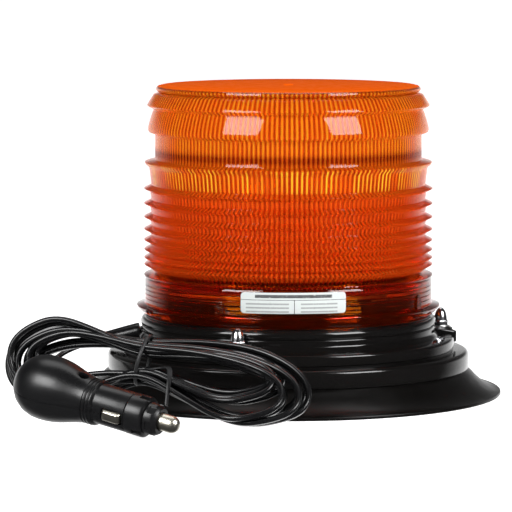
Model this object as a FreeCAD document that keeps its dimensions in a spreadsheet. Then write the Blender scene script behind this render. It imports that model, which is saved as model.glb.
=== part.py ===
"""Amber strobe beacon on a magnetic suction mount, with a tied hank of flat cord and a 12 V plug.

+Z is up, the front is -Y, units are millimetres. The origin is the centre of the face that the
beacon stands on. The driving sizes are in the sheet "Sizes".
"""
import FreeCAD
import Part
import Sketcher
import math
import os

from FreeCAD import Placement, Rotation, Vector

DRIVING_SIZES = {
    # suction skirt and magnet cup
    "rim_radius": 115.0, "rim_thick": 1.6, "skirt_thick": 2.0, "skirt_top": 13.8,
    "skirt_seat_radius": 60.0, "cup_radius": 97.5, "cup_top": 23.6, "cup_wall": 2.5,
    "cup_plate": 2.0, "cup_edge": 2.2, "clamp_thick": 1.4, "clamp_rivets": 6.0,
    "rivet_radius": 2.0, "rivet_circle": 75.0,
    # magnet under the cup
    "magnet_radius": 50.0, "magnet_bore": 8.0, "magnet_clear": 1.0, "pad_thick": 1.0,
    "yoke_thick": 3.6, "bolt_radius": 3.0, "bolt_head_radius": 6.0, "bolt_head_high": 3.0,
    "centre_nut_high": 2.3,
    # housing
    "gasket_thick": 1.0, "flange_radius": 89.5, "flange_high": 6.0, "foot_radius": 81.2,
    "collar_radius": 79.4, "collar_top": 42.0, "housing_wall": 3.2, "deck_thick": 2.5,
    "spigot_radius": 71.5, "spigot_top": 56.0, "base_plate_thick": 1.6,
    "ear_radius": 91.7, "ear_width": 24.0, "ear_slope_in": 34.8, "ear_slope_out": 31.6,
    "ear_under": 2.2, "ear_turn": -108.5, "boss_radius": 6.4, "boss_top": 33.4,
    "housing_screw_circle": 70.0, "housing_boss_radius": 3.6,
    # studs, washers and acorn nuts
    "stud_radius": 2.08, "stud_circle": 85.0, "stud_clear": 0.3, "stud_top": 40.4,
    "nut_across": 7.94, "nut_hex_high": 2.7, "nut_dome_high": 7.2, "nut_dome_radius": 3.75,
    "washer_radius": 5.2, "washer_thick": 0.8,
    # lens
    "lens_gap": 0.6, "lens_inner": 70.0, "lens_mouth": 74.6, "lens_top": 166.2,
    "disc_radius": 71.3, "tier_one_radius": 76.0, "tier_two_radius": 75.7, "neck_radius": 71.8,
    "shoulder_radius": 77.4, "shoulder_height": 125.2, "band_radius": 74.2,
    "ring_radius": 77.8, "ring_root": 73.9, "first_ring": 111.0, "ring_pitch": 8.0,
    "ring_step": 0.72, "lip_radius": 78.0, "lip_height": 64.4, "lower_radius": 77.4,
    "skirt_flange_radius": 81.9, "skirt_flange_height": 48.2, "twist_clear": 0.5,
    "bayonet_high": 3.0, "bayonet_low": 46.0, "bayonet_arc": 22.0, "bayonet_turn": 35.0,
    # label plate
    "label_width": 56.0, "label_high": 11.0, "label_low": 51.1, "label_thick": 0.3,
    "label_turn": -88.4,
    # circuit board and what stands on it
    "board_radius": 62.0, "board_thick": 1.6, "board_height": 40.0, "standoff_circle": 52.0,
    "standoff_radius": 3.2, "screw_radius": 1.5, "screw_head": 2.8, "screw_head_high": 1.8,
    "screw_long": 8.0, "post_radius": 10.0, "post_foot_radius": 16.0, "post_top": 98.0,
    "socket_radius": 13.0, "socket_high": 5.0, "tube_radius": 3.0, "tube_spread": 7.0,
    "tube_leg": 18.0, "pin_radius": 0.9, "band_high": 2.5, "band_thick": 0.25,
    "capacitor_radius": 11.0, "capacitor_long": 36.0, "core_long": 26.0, "core_deep": 22.0,
    "core_high": 22.0, "winding_radius": 10.5, "coil_radius": 4.5, "coil_high": 14.0,
    "sink_long": 26.0, "sink_high": 20.0, "sink_thick": 1.6,
    # cord, boot and hank
    "cord_width": 5.4, "boot_root_radius": 5.2, "boot_tip_radius": 3.9, "boot_long": 24.0,
    "boot_drop": 12.0, "boot_height": 32.6, "hank_thick": 22.0, "hank_edge": 3.0, "hank_side": 0.92,
    "hank_lean": 12.0, "tie_wide": 3.0, "tie_thick": 1.4, "tie_clear": 0.3,
    # plug
    "plug_x": -122.0, "plug_y": -147.0, "plug_z": 22.0, "plug_yaw": -27.0, "plug_pitch": 11.4,
    "plug_roll": 195.5, "bulb_radius": 16.5, "bulb_flat": 8.0, "barrel_radius": 10.2,
    "barrel_start": 30.0, "barrel_end": 49.6, "shell_wall": 2.2, "shell_gap": 0.2,
    "collar_ring_radius": 10.4, "collar_ring_end": 59.2, "nose_radius": 8.2, "nose_end": 66.4,
    "tip_radius": 4.4, "tip_clear": 0.35, "tip_end": 76.2, "tip_travel": 1.8,
    "fuse_radius": 3.0, "fuse_long": 30.0, "contact_low": 37.4, "contact_high": 48.8,
    "contact_wide": 6.0, "contact_out": 1.4, "contact_travel": 1.2, "contact_clear": 0.35,
    "plug_screw_at": 21.0, "relief_long": 8.0, "relief_radius": 5.2, "relief_turn": -15.5,
    "relief_tilt": 120.0,
}
RING_COUNT = 8
EAR_COUNT = 3
BAYONET_COUNT = 4
STANDOFF_COUNT = 4
NOTCH_COUNT = 3

# The cord's route, chosen by hand: from the boot round the left side into the hank, and from the
# hank to the plug's relief.
LEAD_ROUTE = [(-103.2, 0.0, 27.6), (-116.9, 0.0, 24.7), (-130.0, -12.0, 16.0),
              (-134.0, -29.0, 9.0), (-129.0, -47.0, 6.5), (-119.5, -63.0, 7.5),
              (-112.5, -77.5, 11.0), (-114.8, -97.0, 15.5)]
TAIL_ROUTE = [(-123.0, -123.84, 24.3), (-123.36, -115.2, 25.2)]
# The hank's outline, along its length and up from its middle.
HANK_OUTLINE = [(-82, -12), (-82, 10), (-68, 23), (-36, 22), (-7, 12.5), (26, 16), (62, 18),
                (82, 8), (82, -12), (66, -23), (30, -21), (-7, -12.5), (-36, -21), (-68, -23)]
HANK_PLACE = Vector(-68.0, -116.5, 25.6)
HANK_YAW = -13.0

doc = FreeCAD.newDocument("StrobeBeacon")
sheet = doc.addObject("Spreadsheet::Sheet", "Sizes")
for row, (alias, size) in enumerate(DRIVING_SIZES.items(), start=1):
    sheet.set(f"A{row}", alias)
    sheet.set(f"B{row}", str(size))
    sheet.setAlias(f"B{row}", alias)
doc.recompute()

nodes = []


def bound(text):
    """The expression text with every size's name pointed at the sheet."""
    words = []
    word = ""
    for letter in str(text) + " ":
        if letter.isalnum() or letter == "_":
            word += letter
            continue
        words.append("Sizes." + word if word in DRIVING_SIZES else word)
        words.append(letter)
        word = ""
    return "".join(words).strip()


def size_of(text):
    """The number that an expression on the sheet's sizes comes to."""
    return float(sheet.evalExpression(bound(text)))


def bind(piece, properties):
    """Bind each named property of a piece to an expression on the sheet's sizes."""
    for name, text in properties.items():
        piece.setExpression(name, bound(text))
    return piece


def keep(piece, label):
    """Name a finished sub-part, which is written to the file of that name."""
    piece.Label = label
    nodes.append(piece)
    return piece


def shape(kind, properties, base=("0", "0", "0"), axis=None, angle="0"):
    """A Part primitive with its sizes, base point and turn bound to the sheet."""
    piece = doc.addObject(kind, kind.split("::")[1])
    bind(piece, properties)
    if axis is not None:
        piece.Placement.Rotation = Rotation(Vector(*axis), 1.0)
        bind(piece, {"Placement.Rotation.Angle": angle})
    bind(piece, dict(zip(("Placement.Base.x", "Placement.Base.y", "Placement.Base.z"), base)))
    return piece


def cylinder(radius, height, base=("0", "0", "0"), axis=None, angle="0"):
    """A cylinder standing on its base point."""
    return shape("Part::Cylinder", {"Radius": radius, "Height": height}, base, axis, angle)


def box(long, wide, high, base):
    """A box from its lowest corner."""
    return shape("Part::Box", {"Length": long, "Width": wide, "Height": high}, base)


def cut(solid, *tools):
    """The solid less each tool in turn."""
    for tool in tools:
        result = doc.addObject("Part::Cut", "Cut")
        result.Base = solid
        result.Tool = tool
        solid = result
    return solid


def joined(*solids):
    """The solids fused into one."""
    result = doc.addObject("Part::MultiFuse", "Fuse")
    result.Shapes = list(solids)
    result.Refine = True
    return result


def group(solids):
    """Separate solids kept together as one sub-part."""
    result = doc.addObject("Part::Compound", "Group")
    result.Links = list(solids)
    return result


def circle_points(count, circle, start="0"):
    """Base-point expressions for points evenly spaced on a circle about Z."""
    return [(f"{circle} * cos({start} + {360 * i / count})",
             f"{circle} * sin({start} + {360 * i / count})") for i in range(count)]


def new_body(label):
    """An empty PartDesign body."""
    body = doc.addObject("PartDesign::Body", label)
    return keep(body, label)


def sketch_on(body, role, lift="0", turn="0", axis=(0, 0, 1)):
    """A sketch on one of the body's own origin planes, lifted and turned about its own axis."""
    sketch = body.newObject("Sketcher::SketchObject", body.Label + "_sketch")
    plane = next(f for f in body.Origin.OriginFeatures if f.Role == role)
    sketch.AttachmentSupport = [(plane, "")]
    sketch.MapMode = "FlatFace"
    sketch.AttachmentOffset = Placement(Vector(), Rotation(Vector(*axis), 1.0))
    bind(sketch, {"AttachmentOffset.Base.z": lift, "AttachmentOffset.Rotation.Angle": turn})
    return sketch


def polygon(sketch, corners):
    """A closed outline of straight sides, with each corner bound to the sheet."""
    at = [Vector(size_of(x), size_of(y), 0) for x, y in corners]
    first = sketch.GeometryCount
    count = len(at)
    for i in range(count):
        sketch.addGeometry(Part.LineSegment(at[i], at[(i + 1) % count]), False)
    for i in range(count):
        sketch.addConstraint(
            Sketcher.Constraint("Coincident", first + i, 2, first + (i + 1) % count, 1))
        for kind, text, number in (("DistanceX", corners[i][0], at[i].x),
                                   ("DistanceY", corners[i][1], at[i].y)):
            index = sketch.addConstraint(Sketcher.Constraint(kind, -1, 1, first + i, 1, number))
            sketch.setExpression(f"Constraints[{index}]", bound(text))


def revolve(body, corners, kind="PartDesign::Revolution"):
    """Turn an outline of (radius, height) corners about Z, as material or as a cut."""
    sketch = sketch_on(body, "XZ_Plane")
    polygon(sketch, corners)
    feature = body.newObject(kind, "Turned")
    feature.Profile = sketch
    feature.ReferenceAxis = (sketch, ["V_Axis"])
    feature.Angle = 360.0
    body.Tip = feature
    return feature


def extrude(body, role, corners, length, lift="0", turn="0", kind="PartDesign::Pad",
            midplane=False, flip=False, axis=(0, 0, 1)):
    """Pad or pocket an outline on one of the body's planes."""
    sketch = sketch_on(body, role, lift, turn, axis)
    polygon(sketch, corners)
    feature = body.newObject(kind, "Straight")
    feature.Profile = sketch
    bind(feature, {"Length": length})
    feature.Midplane = midplane
    feature.Reversed = flip
    body.Tip = feature
    return feature


def bore(body, places, radius, length, lift, kind="PartDesign::Pocket", flip=False):
    """Round pockets or pads at places on a level plane."""
    sketch = sketch_on(body, "XY_Plane", lift)
    for x, y in places:
        centre = Vector(size_of(x), size_of(y), 0)
        index = sketch.addGeometry(Part.Circle(centre, Vector(0, 0, 1), size_of(radius)), False)
        for name, text, number in (("DistanceX", x, centre.x), ("DistanceY", y, centre.y)):
            held = sketch.addConstraint(Sketcher.Constraint(name, -1, 1, index, 3, number))
            sketch.setExpression(f"Constraints[{held}]", bound(text))
        held = sketch.addConstraint(Sketcher.Constraint("Radius", index, size_of(radius)))
        sketch.setExpression(f"Constraints[{held}]", bound(radius))
    feature = body.newObject(kind, "Round")
    feature.Profile = sketch
    bind(feature, {"Length": length})
    feature.Reversed = flip
    body.Tip = feature
    return feature


def repeat(body, features, count):
    """Repeat features evenly about Z."""
    pattern = body.newObject("PartDesign::PolarPattern", "Repeated")
    pattern.Originals = features
    pattern.Axis = (next(f for f in body.Origin.OriginFeatures if f.Role == "Z_Axis"), [""])
    pattern.Angle = 360.0
    pattern.Occurrences = count
    body.Tip = pattern
    return pattern


# ---------------------------------------------------------------------------------------------
# Magnetic suction mount


def build_mount():
    """The suction skirt, clamp ring, magnet cup, magnet stack and the studs."""
    flare = "(rim_radius - cup_radius)"
    skirt = new_body("suction_skirt")
    revolve(skirt, [
        ("skirt_seat_radius", "skirt_top"), ("cup_radius - 1", "skirt_top"),
        (f"cup_radius + {flare} * 0.22", "skirt_top * 0.62"),
        (f"cup_radius + {flare} * 0.5", "skirt_top * 0.34"),
        (f"cup_radius + {flare} * 0.8", "skirt_top * 0.17"),
        ("rim_radius - 0.3", "rim_thick"), ("rim_radius", "rim_thick * 0.6"),
        ("rim_radius - 0.4", "0"), ("rim_radius - 3.4", "0"),
        (f"cup_radius + {flare} * 0.44", "skirt_top * 0.34 - skirt_thick"),
        (f"cup_radius + {flare} * 0.1", "skirt_top * 0.62 - skirt_thick * 0.6"),
        ("cup_radius - 3.6", "skirt_top - skirt_thick"),
        ("skirt_seat_radius", "skirt_top - skirt_thick")])

    clamp = new_body("clamp_ring")
    revolve(clamp, [
        ("skirt_seat_radius + 2", "skirt_top - skirt_thick"),
        ("cup_radius - 8", "skirt_top - skirt_thick"),
        ("cup_radius - 8", "skirt_top - skirt_thick - clamp_thick"),
        ("skirt_seat_radius + 2", "skirt_top - skirt_thick - clamp_thick")])
    spots = circle_points(int(DRIVING_SIZES["clamp_rivets"]), "rivet_circle")
    low = "skirt_top - skirt_thick - clamp_thick"
    doc.recompute()
    bore(clamp, spots, "rivet_radius + 0.05", "clamp_thick + 1", f"{low} - 0.5", flip=True)
    doc.recompute()
    bore(skirt, spots, "rivet_radius + 0.05", "skirt_thick + 1",
         "skirt_top - skirt_thick - 0.5", flip=True)
    rivets = []
    for x, y in spots:
        shank = cylinder("rivet_radius", f"skirt_top + cup_wall - ({low})", (x, y, low))
        head = cylinder("rivet_radius * 1.8", "0.9", (x, y, f"{low} - 0.9"))
        rivets.append(joined(shank, head))
    keep(group(rivets), "clamp_rivets")

    cup = new_body("magnet_cup")
    inner = "cup_radius - cup_wall"
    plate = "cup_top - cup_plate"
    revolve(cup, [
        ("bolt_radius + 0.1", "cup_top"), ("cup_radius - cup_edge", "cup_top"),
        ("cup_radius - cup_edge * 0.5", "cup_top - cup_edge * 0.134"),
        ("cup_radius - cup_edge * 0.134", "cup_top - cup_edge * 0.5"),
        ("cup_radius", "cup_top - cup_edge"), ("cup_radius", "skirt_top"),
        ("skirt_seat_radius", "skirt_top"), ("skirt_seat_radius", "skirt_top + cup_wall"),
        (inner, "skirt_top + cup_wall"), (inner, plate), ("bolt_radius + 0.1", plate)])
    studs = circle_points(EAR_COUNT, "stud_circle", "ear_turn")
    doc.recompute()
    bore(cup, studs, "stud_radius + 0.05", "cup_plate + 2", f"{plate} - 1", flip=True)
    doc.recompute()
    bore(cup, spots, "rivet_radius + 0.05", "cup_wall + 1", "skirt_top - 0.5", flip=True)

    stack_low = "magnet_clear + pad_thick"
    yoke = new_body("magnet_yoke")
    revolve(yoke, [
        ("bolt_radius + 0.1", plate), ("magnet_radius", plate),
        ("magnet_radius", f"{plate} - yoke_thick"), ("bolt_radius + 0.1", f"{plate} - yoke_thick")])
    magnet = new_body("ring_magnet")
    revolve(magnet, [
        ("magnet_bore", f"{plate} - yoke_thick"), ("magnet_radius", f"{plate} - yoke_thick"),
        ("magnet_radius", stack_low), ("magnet_bore", stack_low)])
    pad = new_body("magnet_pad")
    revolve(pad, [
        ("magnet_bore", stack_low), ("magnet_radius + 0.6", stack_low),
        ("magnet_radius + 0.6", "magnet_clear"), ("magnet_bore", "magnet_clear")])
    head_low = f"{plate} - yoke_thick - bolt_head_high"
    bolt = joined(
        cylinder("bolt_radius", "cup_top + centre_nut_high - (cup_top - cup_plate - yoke_thick)",
                 ("0", "0", f"{plate} - yoke_thick")),
        cylinder("bolt_head_radius", "bolt_head_high", ("0", "0", head_low)))
    keep(bolt, "magnet_bolt")
    nut = shape("Part::Prism", {"Circumradius": "bolt_radius * 1.9", "Height": "centre_nut_high"},
                ("0", "0", "cup_top"))
    nut.Polygon = 6
    keep(cut(nut, cylinder("bolt_radius + 0.05", "centre_nut_high + 2",
                           ("0", "0", "cup_top - 1"))), "magnet_nut")

    pins = []
    for x, y in studs:
        shank = cylinder("stud_radius", f"stud_top - ({plate})", (x, y, plate))
        head = cylinder("stud_radius * 2", "1.8", (x, y, f"{plate} - 1.8"))
        pins.append(joined(shank, head))
    keep(group(pins), "base_studs")
    return studs


# ---------------------------------------------------------------------------------------------
# Housing, its ears and the fasteners on them


def build_housing(studs):
    """The glossy housing with three ears, its gaskets, base plate, screws and acorn nuts."""
    low = "cup_top + gasket_thick"
    flange = f"{low} + flange_high"
    ceiling = f"{low} + flange_high - 2.6"
    gasket = new_body("mount_gasket")
    revolve(gasket, [("flange_radius - 8.5", "cup_top"), ("flange_radius - 0.5", "cup_top"),
                     ("flange_radius - 0.5", low), ("flange_radius - 8.5", low)])
    doc.recompute()
    bore(gasket, studs, "stud_radius + 0.1", "gasket_thick + 2", "cup_top - 1", flip=True)

    house = new_body("base_housing")
    revolve(house, [
        ("flange_radius - housing_wall", low), ("flange_radius", low),
        ("flange_radius", f"{flange} - 1"), ("flange_radius - 1", flange),
        ("foot_radius", f"{flange} + 0.4"), ("foot_radius", f"{flange} + 1.2"),
        ("collar_radius", f"{flange} + 2.8"), ("collar_radius", "collar_top - 5.6"),
        ("collar_radius - 0.5", "collar_top - 5.2"), ("collar_radius", "collar_top - 4.8"),
        ("collar_radius + 0.3", "collar_top - 2.4"), ("collar_radius - 0.4", "collar_top - 0.6"),
        ("collar_radius - 1.2", "collar_top"), ("spigot_radius", "collar_top"),
        ("spigot_radius", "spigot_top"), ("spigot_radius - deck_thick", "spigot_top"),
        ("spigot_radius - deck_thick", "collar_top - deck_thick"),
        ("collar_radius - housing_wall", "collar_top - deck_thick"),
        ("collar_radius - housing_wall", ceiling),
        ("flange_radius - housing_wall", ceiling)])
    doc.recompute()
    ear = extrude(house, "XZ_Plane", [
        ("collar_radius - 2", ceiling), ("flange_radius - 1", ceiling),
        ("flange_radius - 1", f"{low} + ear_under"), ("ear_radius - 1.2", f"{low} + ear_under"),
        ("ear_radius", f"{low} + ear_under + 1.2"), ("ear_radius", "ear_slope_out - 1"),
        ("ear_radius - 1.2", "ear_slope_out"), ("collar_radius - 2", "ear_slope_in")],
        "ear_width", midplane=True, turn="ear_turn", axis=(0, 1, 0))
    doc.recompute()
    boss = bore(house, studs[:1], "boss_radius", "boss_top - 30", "30", kind="PartDesign::Pad")
    doc.recompute()
    hole = bore(house, studs[:1], "stud_radius + stud_clear", "boss_top", f"{low} - 1", flip=True)
    doc.recompute()
    seat = bore(house, studs[:1], "washer_radius + 0.3", "4", "boss_top", flip=True)
    doc.recompute()
    repeat(house, [ear, boss, hole, seat], EAR_COUNT)
    doc.recompute()
    lug_half = "(spigot_radius + 2.5) * tan(bayonet_arc / 2)"
    lug_low = "bayonet_low + bayonet_high + twist_clear"
    lug = extrude(house, "XY_Plane", [
        ("spigot_radius - 0.8", f"-({lug_half}) * 0.95"), ("spigot_radius + 1", f"-({lug_half})"),
        ("spigot_radius + 2.4", f"-({lug_half}) * 0.3"), ("spigot_radius + 2.4", f"({lug_half}) * 0.3"),
        ("spigot_radius + 1", lug_half), ("spigot_radius - 0.8", f"({lug_half}) * 0.95")],
        "bayonet_high", lift=lug_low)
    doc.recompute()
    repeat(house, [lug], BAYONET_COUNT)
    doc.recompute()
    bosses = circle_points(STANDOFF_COUNT, "housing_screw_circle", "45")
    plate_top = "cup_top + gasket_thick + flange_high - 2.6"
    bore(house, bosses, "housing_boss_radius", f"collar_top - deck_thick + 0.6 - ({plate_top})",
         plate_top, kind="PartDesign::Pad")
    doc.recompute()
    bore(house, bosses, "screw_radius + 0.05", "9", plate_top, flip=True)
    # the channel that the cord's boot leaves through
    doc.recompute()
    extrude(house, "XZ_Plane", [
        ("-(flange_radius + 3)", f"{low} - 1"), ("-(collar_radius - 1.2)", f"{low} - 1"),
        ("-(collar_radius - 1.2)", "collar_top - 3"), ("-(flange_radius + 3)", "collar_top - 3")],
        "boot_root_radius * 2 + 1.2", kind="PartDesign::Pocket", midplane=True)
    doc.recompute()
    bore_axis = sketch_on(house, "YZ_Plane", "-(collar_radius + 2)")
    index = bore_axis.addGeometry(Part.Circle(Vector(0, size_of("boot_height"), 0),
                                              Vector(0, 0, 1), size_of("boot_root_radius - 1.2")))
    held = bore_axis.addConstraint(Sketcher.Constraint("PointOnObject", index, 3, -2))
    held = bore_axis.addConstraint(
        Sketcher.Constraint("DistanceY", -1, 1, index, 3, size_of("boot_height")))
    bore_axis.setExpression(f"Constraints[{held}]", bound("boot_height"))
    held = bore_axis.addConstraint(
        Sketcher.Constraint("Radius", index, size_of("boot_root_radius - 1.2")))
    bore_axis.setExpression(f"Constraints[{held}]", bound("boot_root_radius - 1.2"))
    wall_hole = house.newObject("PartDesign::Pocket", "Cord_hole")
    wall_hole.Profile = bore_axis
    bind(wall_hole, {"Length": "housing_wall + 6"})
    wall_hole.Reversed = True
    house.Tip = wall_hole

    plate = new_body("base_plate")
    revolve(plate, [("0", plate_top), ("flange_radius - 8", plate_top),
                    ("flange_radius - 8", f"{plate_top} - base_plate_thick"),
                    ("0", f"{plate_top} - base_plate_thick")])
    doc.recompute()
    bore(plate, bosses, "screw_radius + 0.1", "base_plate_thick + 2",
         f"{plate_top} - base_plate_thick - 1", flip=True)
    doc.recompute()
    extrude(plate, "XZ_Plane", [
        ("-flange_radius", f"{plate_top} - 4"), ("-(collar_radius - 1.6)", f"{plate_top} - 4"),
        ("-(collar_radius - 1.6)", f"{plate_top} + 2"), ("-flange_radius", f"{plate_top} + 2")],
        "boot_root_radius * 2 + 1.2", kind="PartDesign::Pocket", midplane=True)

    screws = []
    for x, y in bosses:
        shank = cylinder("screw_radius", "base_plate_thick + 8",
                         (x, y, f"{plate_top} - base_plate_thick"))
        head = cylinder("screw_head", "1.2", (x, y, f"{plate_top} - base_plate_thick - 1.2"))
        screws.append(joined(shank, head))
    keep(group(screws), "housing_screws")

    seal = new_body("lens_gasket")
    revolve(seal, [("spigot_radius + 0.6", "collar_top"), ("lens_mouth + 2", "collar_top"),
                   ("lens_mouth + 2", "collar_top + lens_gap - 0.1"),
                   ("spigot_radius + 0.6", "collar_top + lens_gap - 0.1")])

    washers = []
    nuts = []
    for x, y in studs:
        washer = cylinder("washer_radius", "washer_thick", (x, y, "boss_top"))
        hole = cylinder("stud_radius + 0.2", "washer_thick + 2", (x, y, "boss_top - 1"))
        washers.append(cut(washer, hole))
        seat = "boss_top + washer_thick"
        hexagon = shape("Part::Prism", {"Circumradius": "nut_across / 2 / cos(30)",
                                        "Height": "nut_hex_high"}, (x, y, seat))
        hexagon.Polygon = 6
        dome = shape("Part::Ellipsoid", {"Radius1": "nut_dome_high", "Radius2": "nut_dome_radius",
                                         "Radius3": "nut_dome_radius"},
                     (x, y, f"{seat} + nut_hex_high"))
        dome.Angle1 = 0.0
        blind = cylinder("stud_radius + 0.05", f"stud_top - ({seat}) + 1.6", (x, y, f"{seat} - 1"))
        nuts.append(cut(joined(hexagon, dome), blind))
    keep(group(washers), "stud_washers")
    keep(group(nuts), "acorn_nuts")
    return plate_top


# ---------------------------------------------------------------------------------------------
# Lens


def build_lens():
    """The ribbed lens with its bayonet hooks, and the blank label plate on its lower band."""
    low = "collar_top + lens_gap"
    outer = [
        ("0", "lens_top + 0.7"), ("2.2", "lens_top + 0.7"), ("2.8", "lens_top + 0.3"),
        ("disc_radius - 2.4", "lens_top"), ("disc_radius - 0.7", "lens_top - 0.7"),
        ("disc_radius", "lens_top - 2"), ("disc_radius - 0.6", "lens_top - 3.1"),
        ("disc_radius - 2", "lens_top - 3.6"), ("tier_one_radius - 3.8", "lens_top - 4.6"),
        ("tier_one_radius", "lens_top - 10.4"), ("tier_one_radius - 0.6", "lens_top - 11.2"),
        ("tier_one_radius - 3.5", "lens_top - 12.6"), ("tier_two_radius - 2.8", "lens_top - 13.6"),
        ("tier_two_radius - 1.2", "lens_top - 17.6"), ("tier_two_radius - 0.3", "lens_top - 20.8"),
        ("tier_two_radius", "lens_top - 23.5"), ("tier_two_radius - 0.4", "lens_top - 24.8"),
        ("neck_radius", "lens_top - 26.4"), ("neck_radius", "shoulder_height + 1.4"),
        ("shoulder_radius - 3.4", "shoulder_height + 1.1"), ("shoulder_radius", "shoulder_height"),
        ("shoulder_radius - 0.5", "shoulder_height - 1.2"),
        ("shoulder_radius - 1.9", "shoulder_height - 2.5"),
        ("band_radius", "first_ring + 3")]
    height = "first_ring"
    for ring in range(RING_COUNT):
        outer += [("ring_root", f"{height} + 1.9"), ("ring_radius", f"{height}"),
                  ("ring_root + 0.6", f"{height} - 1.9")]
        height = f"{height} - (ring_pitch - ring_step * {ring})"
    outer += [
        ("ring_root - 2.6", "lip_height + 1.2"), ("lip_radius - 2", "lip_height + 0.8"),
        ("lip_radius", "lip_height"), ("lip_radius - 0.2", "lip_height - 0.8"),
        ("lower_radius - 0.6", "lip_height - 1.2"), ("lower_radius", "lip_height - 2.2"),
        ("lower_radius", "skirt_flange_height + 1.4"),
        ("skirt_flange_radius", "skirt_flange_height"),
        ("skirt_flange_radius - 0.3", "skirt_flange_height - 0.7"),
        ("lens_mouth + 2.6", f"{low}"), ("lens_mouth", f"{low}")]
    inner = [
        ("lens_mouth", "lip_height - 5"), ("lens_inner - 1", "lip_height - 1"),
        ("lens_inner", "lip_height + 4"), ("lens_inner", "first_ring"),
        ("neck_radius - 2.4", "shoulder_height"), ("neck_radius - 2.6", "lens_top - 24"),
        ("neck_radius - 3.4", "lens_top - 10"), ("neck_radius - 5.4", "lens_top - 4.4"),
        ("neck_radius - 8", "lens_top - 2.6"), ("0", "lens_top - 2.6")]
    lens = new_body("lens")
    revolve(lens, outer + inner)
    doc.recompute()
    hook_half = "(spigot_radius + 2) * tan(bayonet_arc / 2)"
    hook = extrude(lens, "XY_Plane", [
        ("spigot_radius + twist_clear", "-3.2"), ("spigot_radius + twist_clear", "3.2"),
        ("lens_mouth - 0.9", f"({hook_half}) * 0.8"), ("lens_mouth + 0.6", f"({hook_half}) * 0.8"),
        ("lens_mouth + 0.6", f"-({hook_half}) * 0.8"), ("lens_mouth - 0.9", f"-({hook_half}) * 0.8")],
        "bayonet_high", lift="bayonet_low")
    doc.recompute()
    repeat(lens, [hook], BAYONET_COUNT)
    doc.recompute()
    arch = extrude(lens, "XY_Plane", [
        ("lower_radius - 1", "-3.4"), ("lower_radius + 1.3", "-3.4"),
        ("lower_radius + 1.3", "3.4"), ("lower_radius - 1", "3.4")],
        "7", lift="skirt_flange_height - 0.6", turn="-28")
    doc.recompute()
    repeat(lens, [arch], BAYONET_COUNT)

    label = new_body("label_plate")
    half_turn = math.degrees(size_of("label_width") / 2 / size_of("lower_radius"))
    sketch = sketch_on(label, "XY_Plane", "label_low", "label_turn")
    arcs = []
    for radius in ("lower_radius", "lower_radius + label_thick"):
        circle = Part.Circle(Vector(), Vector(0, 0, 1), size_of(radius))
        arc = Part.ArcOfCircle(circle, -math.radians(half_turn), math.radians(half_turn))
        index = sketch.addGeometry(arc, False)
        sketch.addConstraint(Sketcher.Constraint("Coincident", index, 3, -1, 1))
        held = sketch.addConstraint(Sketcher.Constraint("Radius", index, size_of(radius)))
        sketch.setExpression(f"Constraints[{held}]", bound(radius))
        arcs.append(index)
    for point in (1, 2):
        ends = [sketch.getPoint(arc, point) for arc in arcs]
        index = sketch.addGeometry(Part.LineSegment(ends[0], ends[1]), False)
        sketch.addConstraint(Sketcher.Constraint("Coincident", index, 1, arcs[0], point))
        sketch.addConstraint(Sketcher.Constraint("Coincident", index, 2, arcs[1], point))
        side = ends[0].y
        held = sketch.addConstraint(Sketcher.Constraint("DistanceY", -1, 1, arcs[0], point, side))
        half = "lower_radius * sin(label_width / 2 / lower_radius * 180 / pi)"
        sketch.setExpression(f"Constraints[{held}]", bound(half if side > 0 else f"-{half}"))
        other = (Sketcher.Constraint("DistanceY", -1, 1, arcs[1], point, ends[1].y))
        held = sketch.addConstraint(other)
        wide = "(lower_radius + label_thick) * sin(label_width / 2 / lower_radius * 180 / pi)"
        sketch.setExpression(f"Constraints[{held}]", bound(wide if side > 0 else f"-{wide}"))
    pad = label.newObject("PartDesign::Pad", "Plate")
    pad.Profile = sketch
    bind(pad, {"Length": "label_high"})
    label.Tip = pad


# ---------------------------------------------------------------------------------------------
# Electronics


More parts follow.
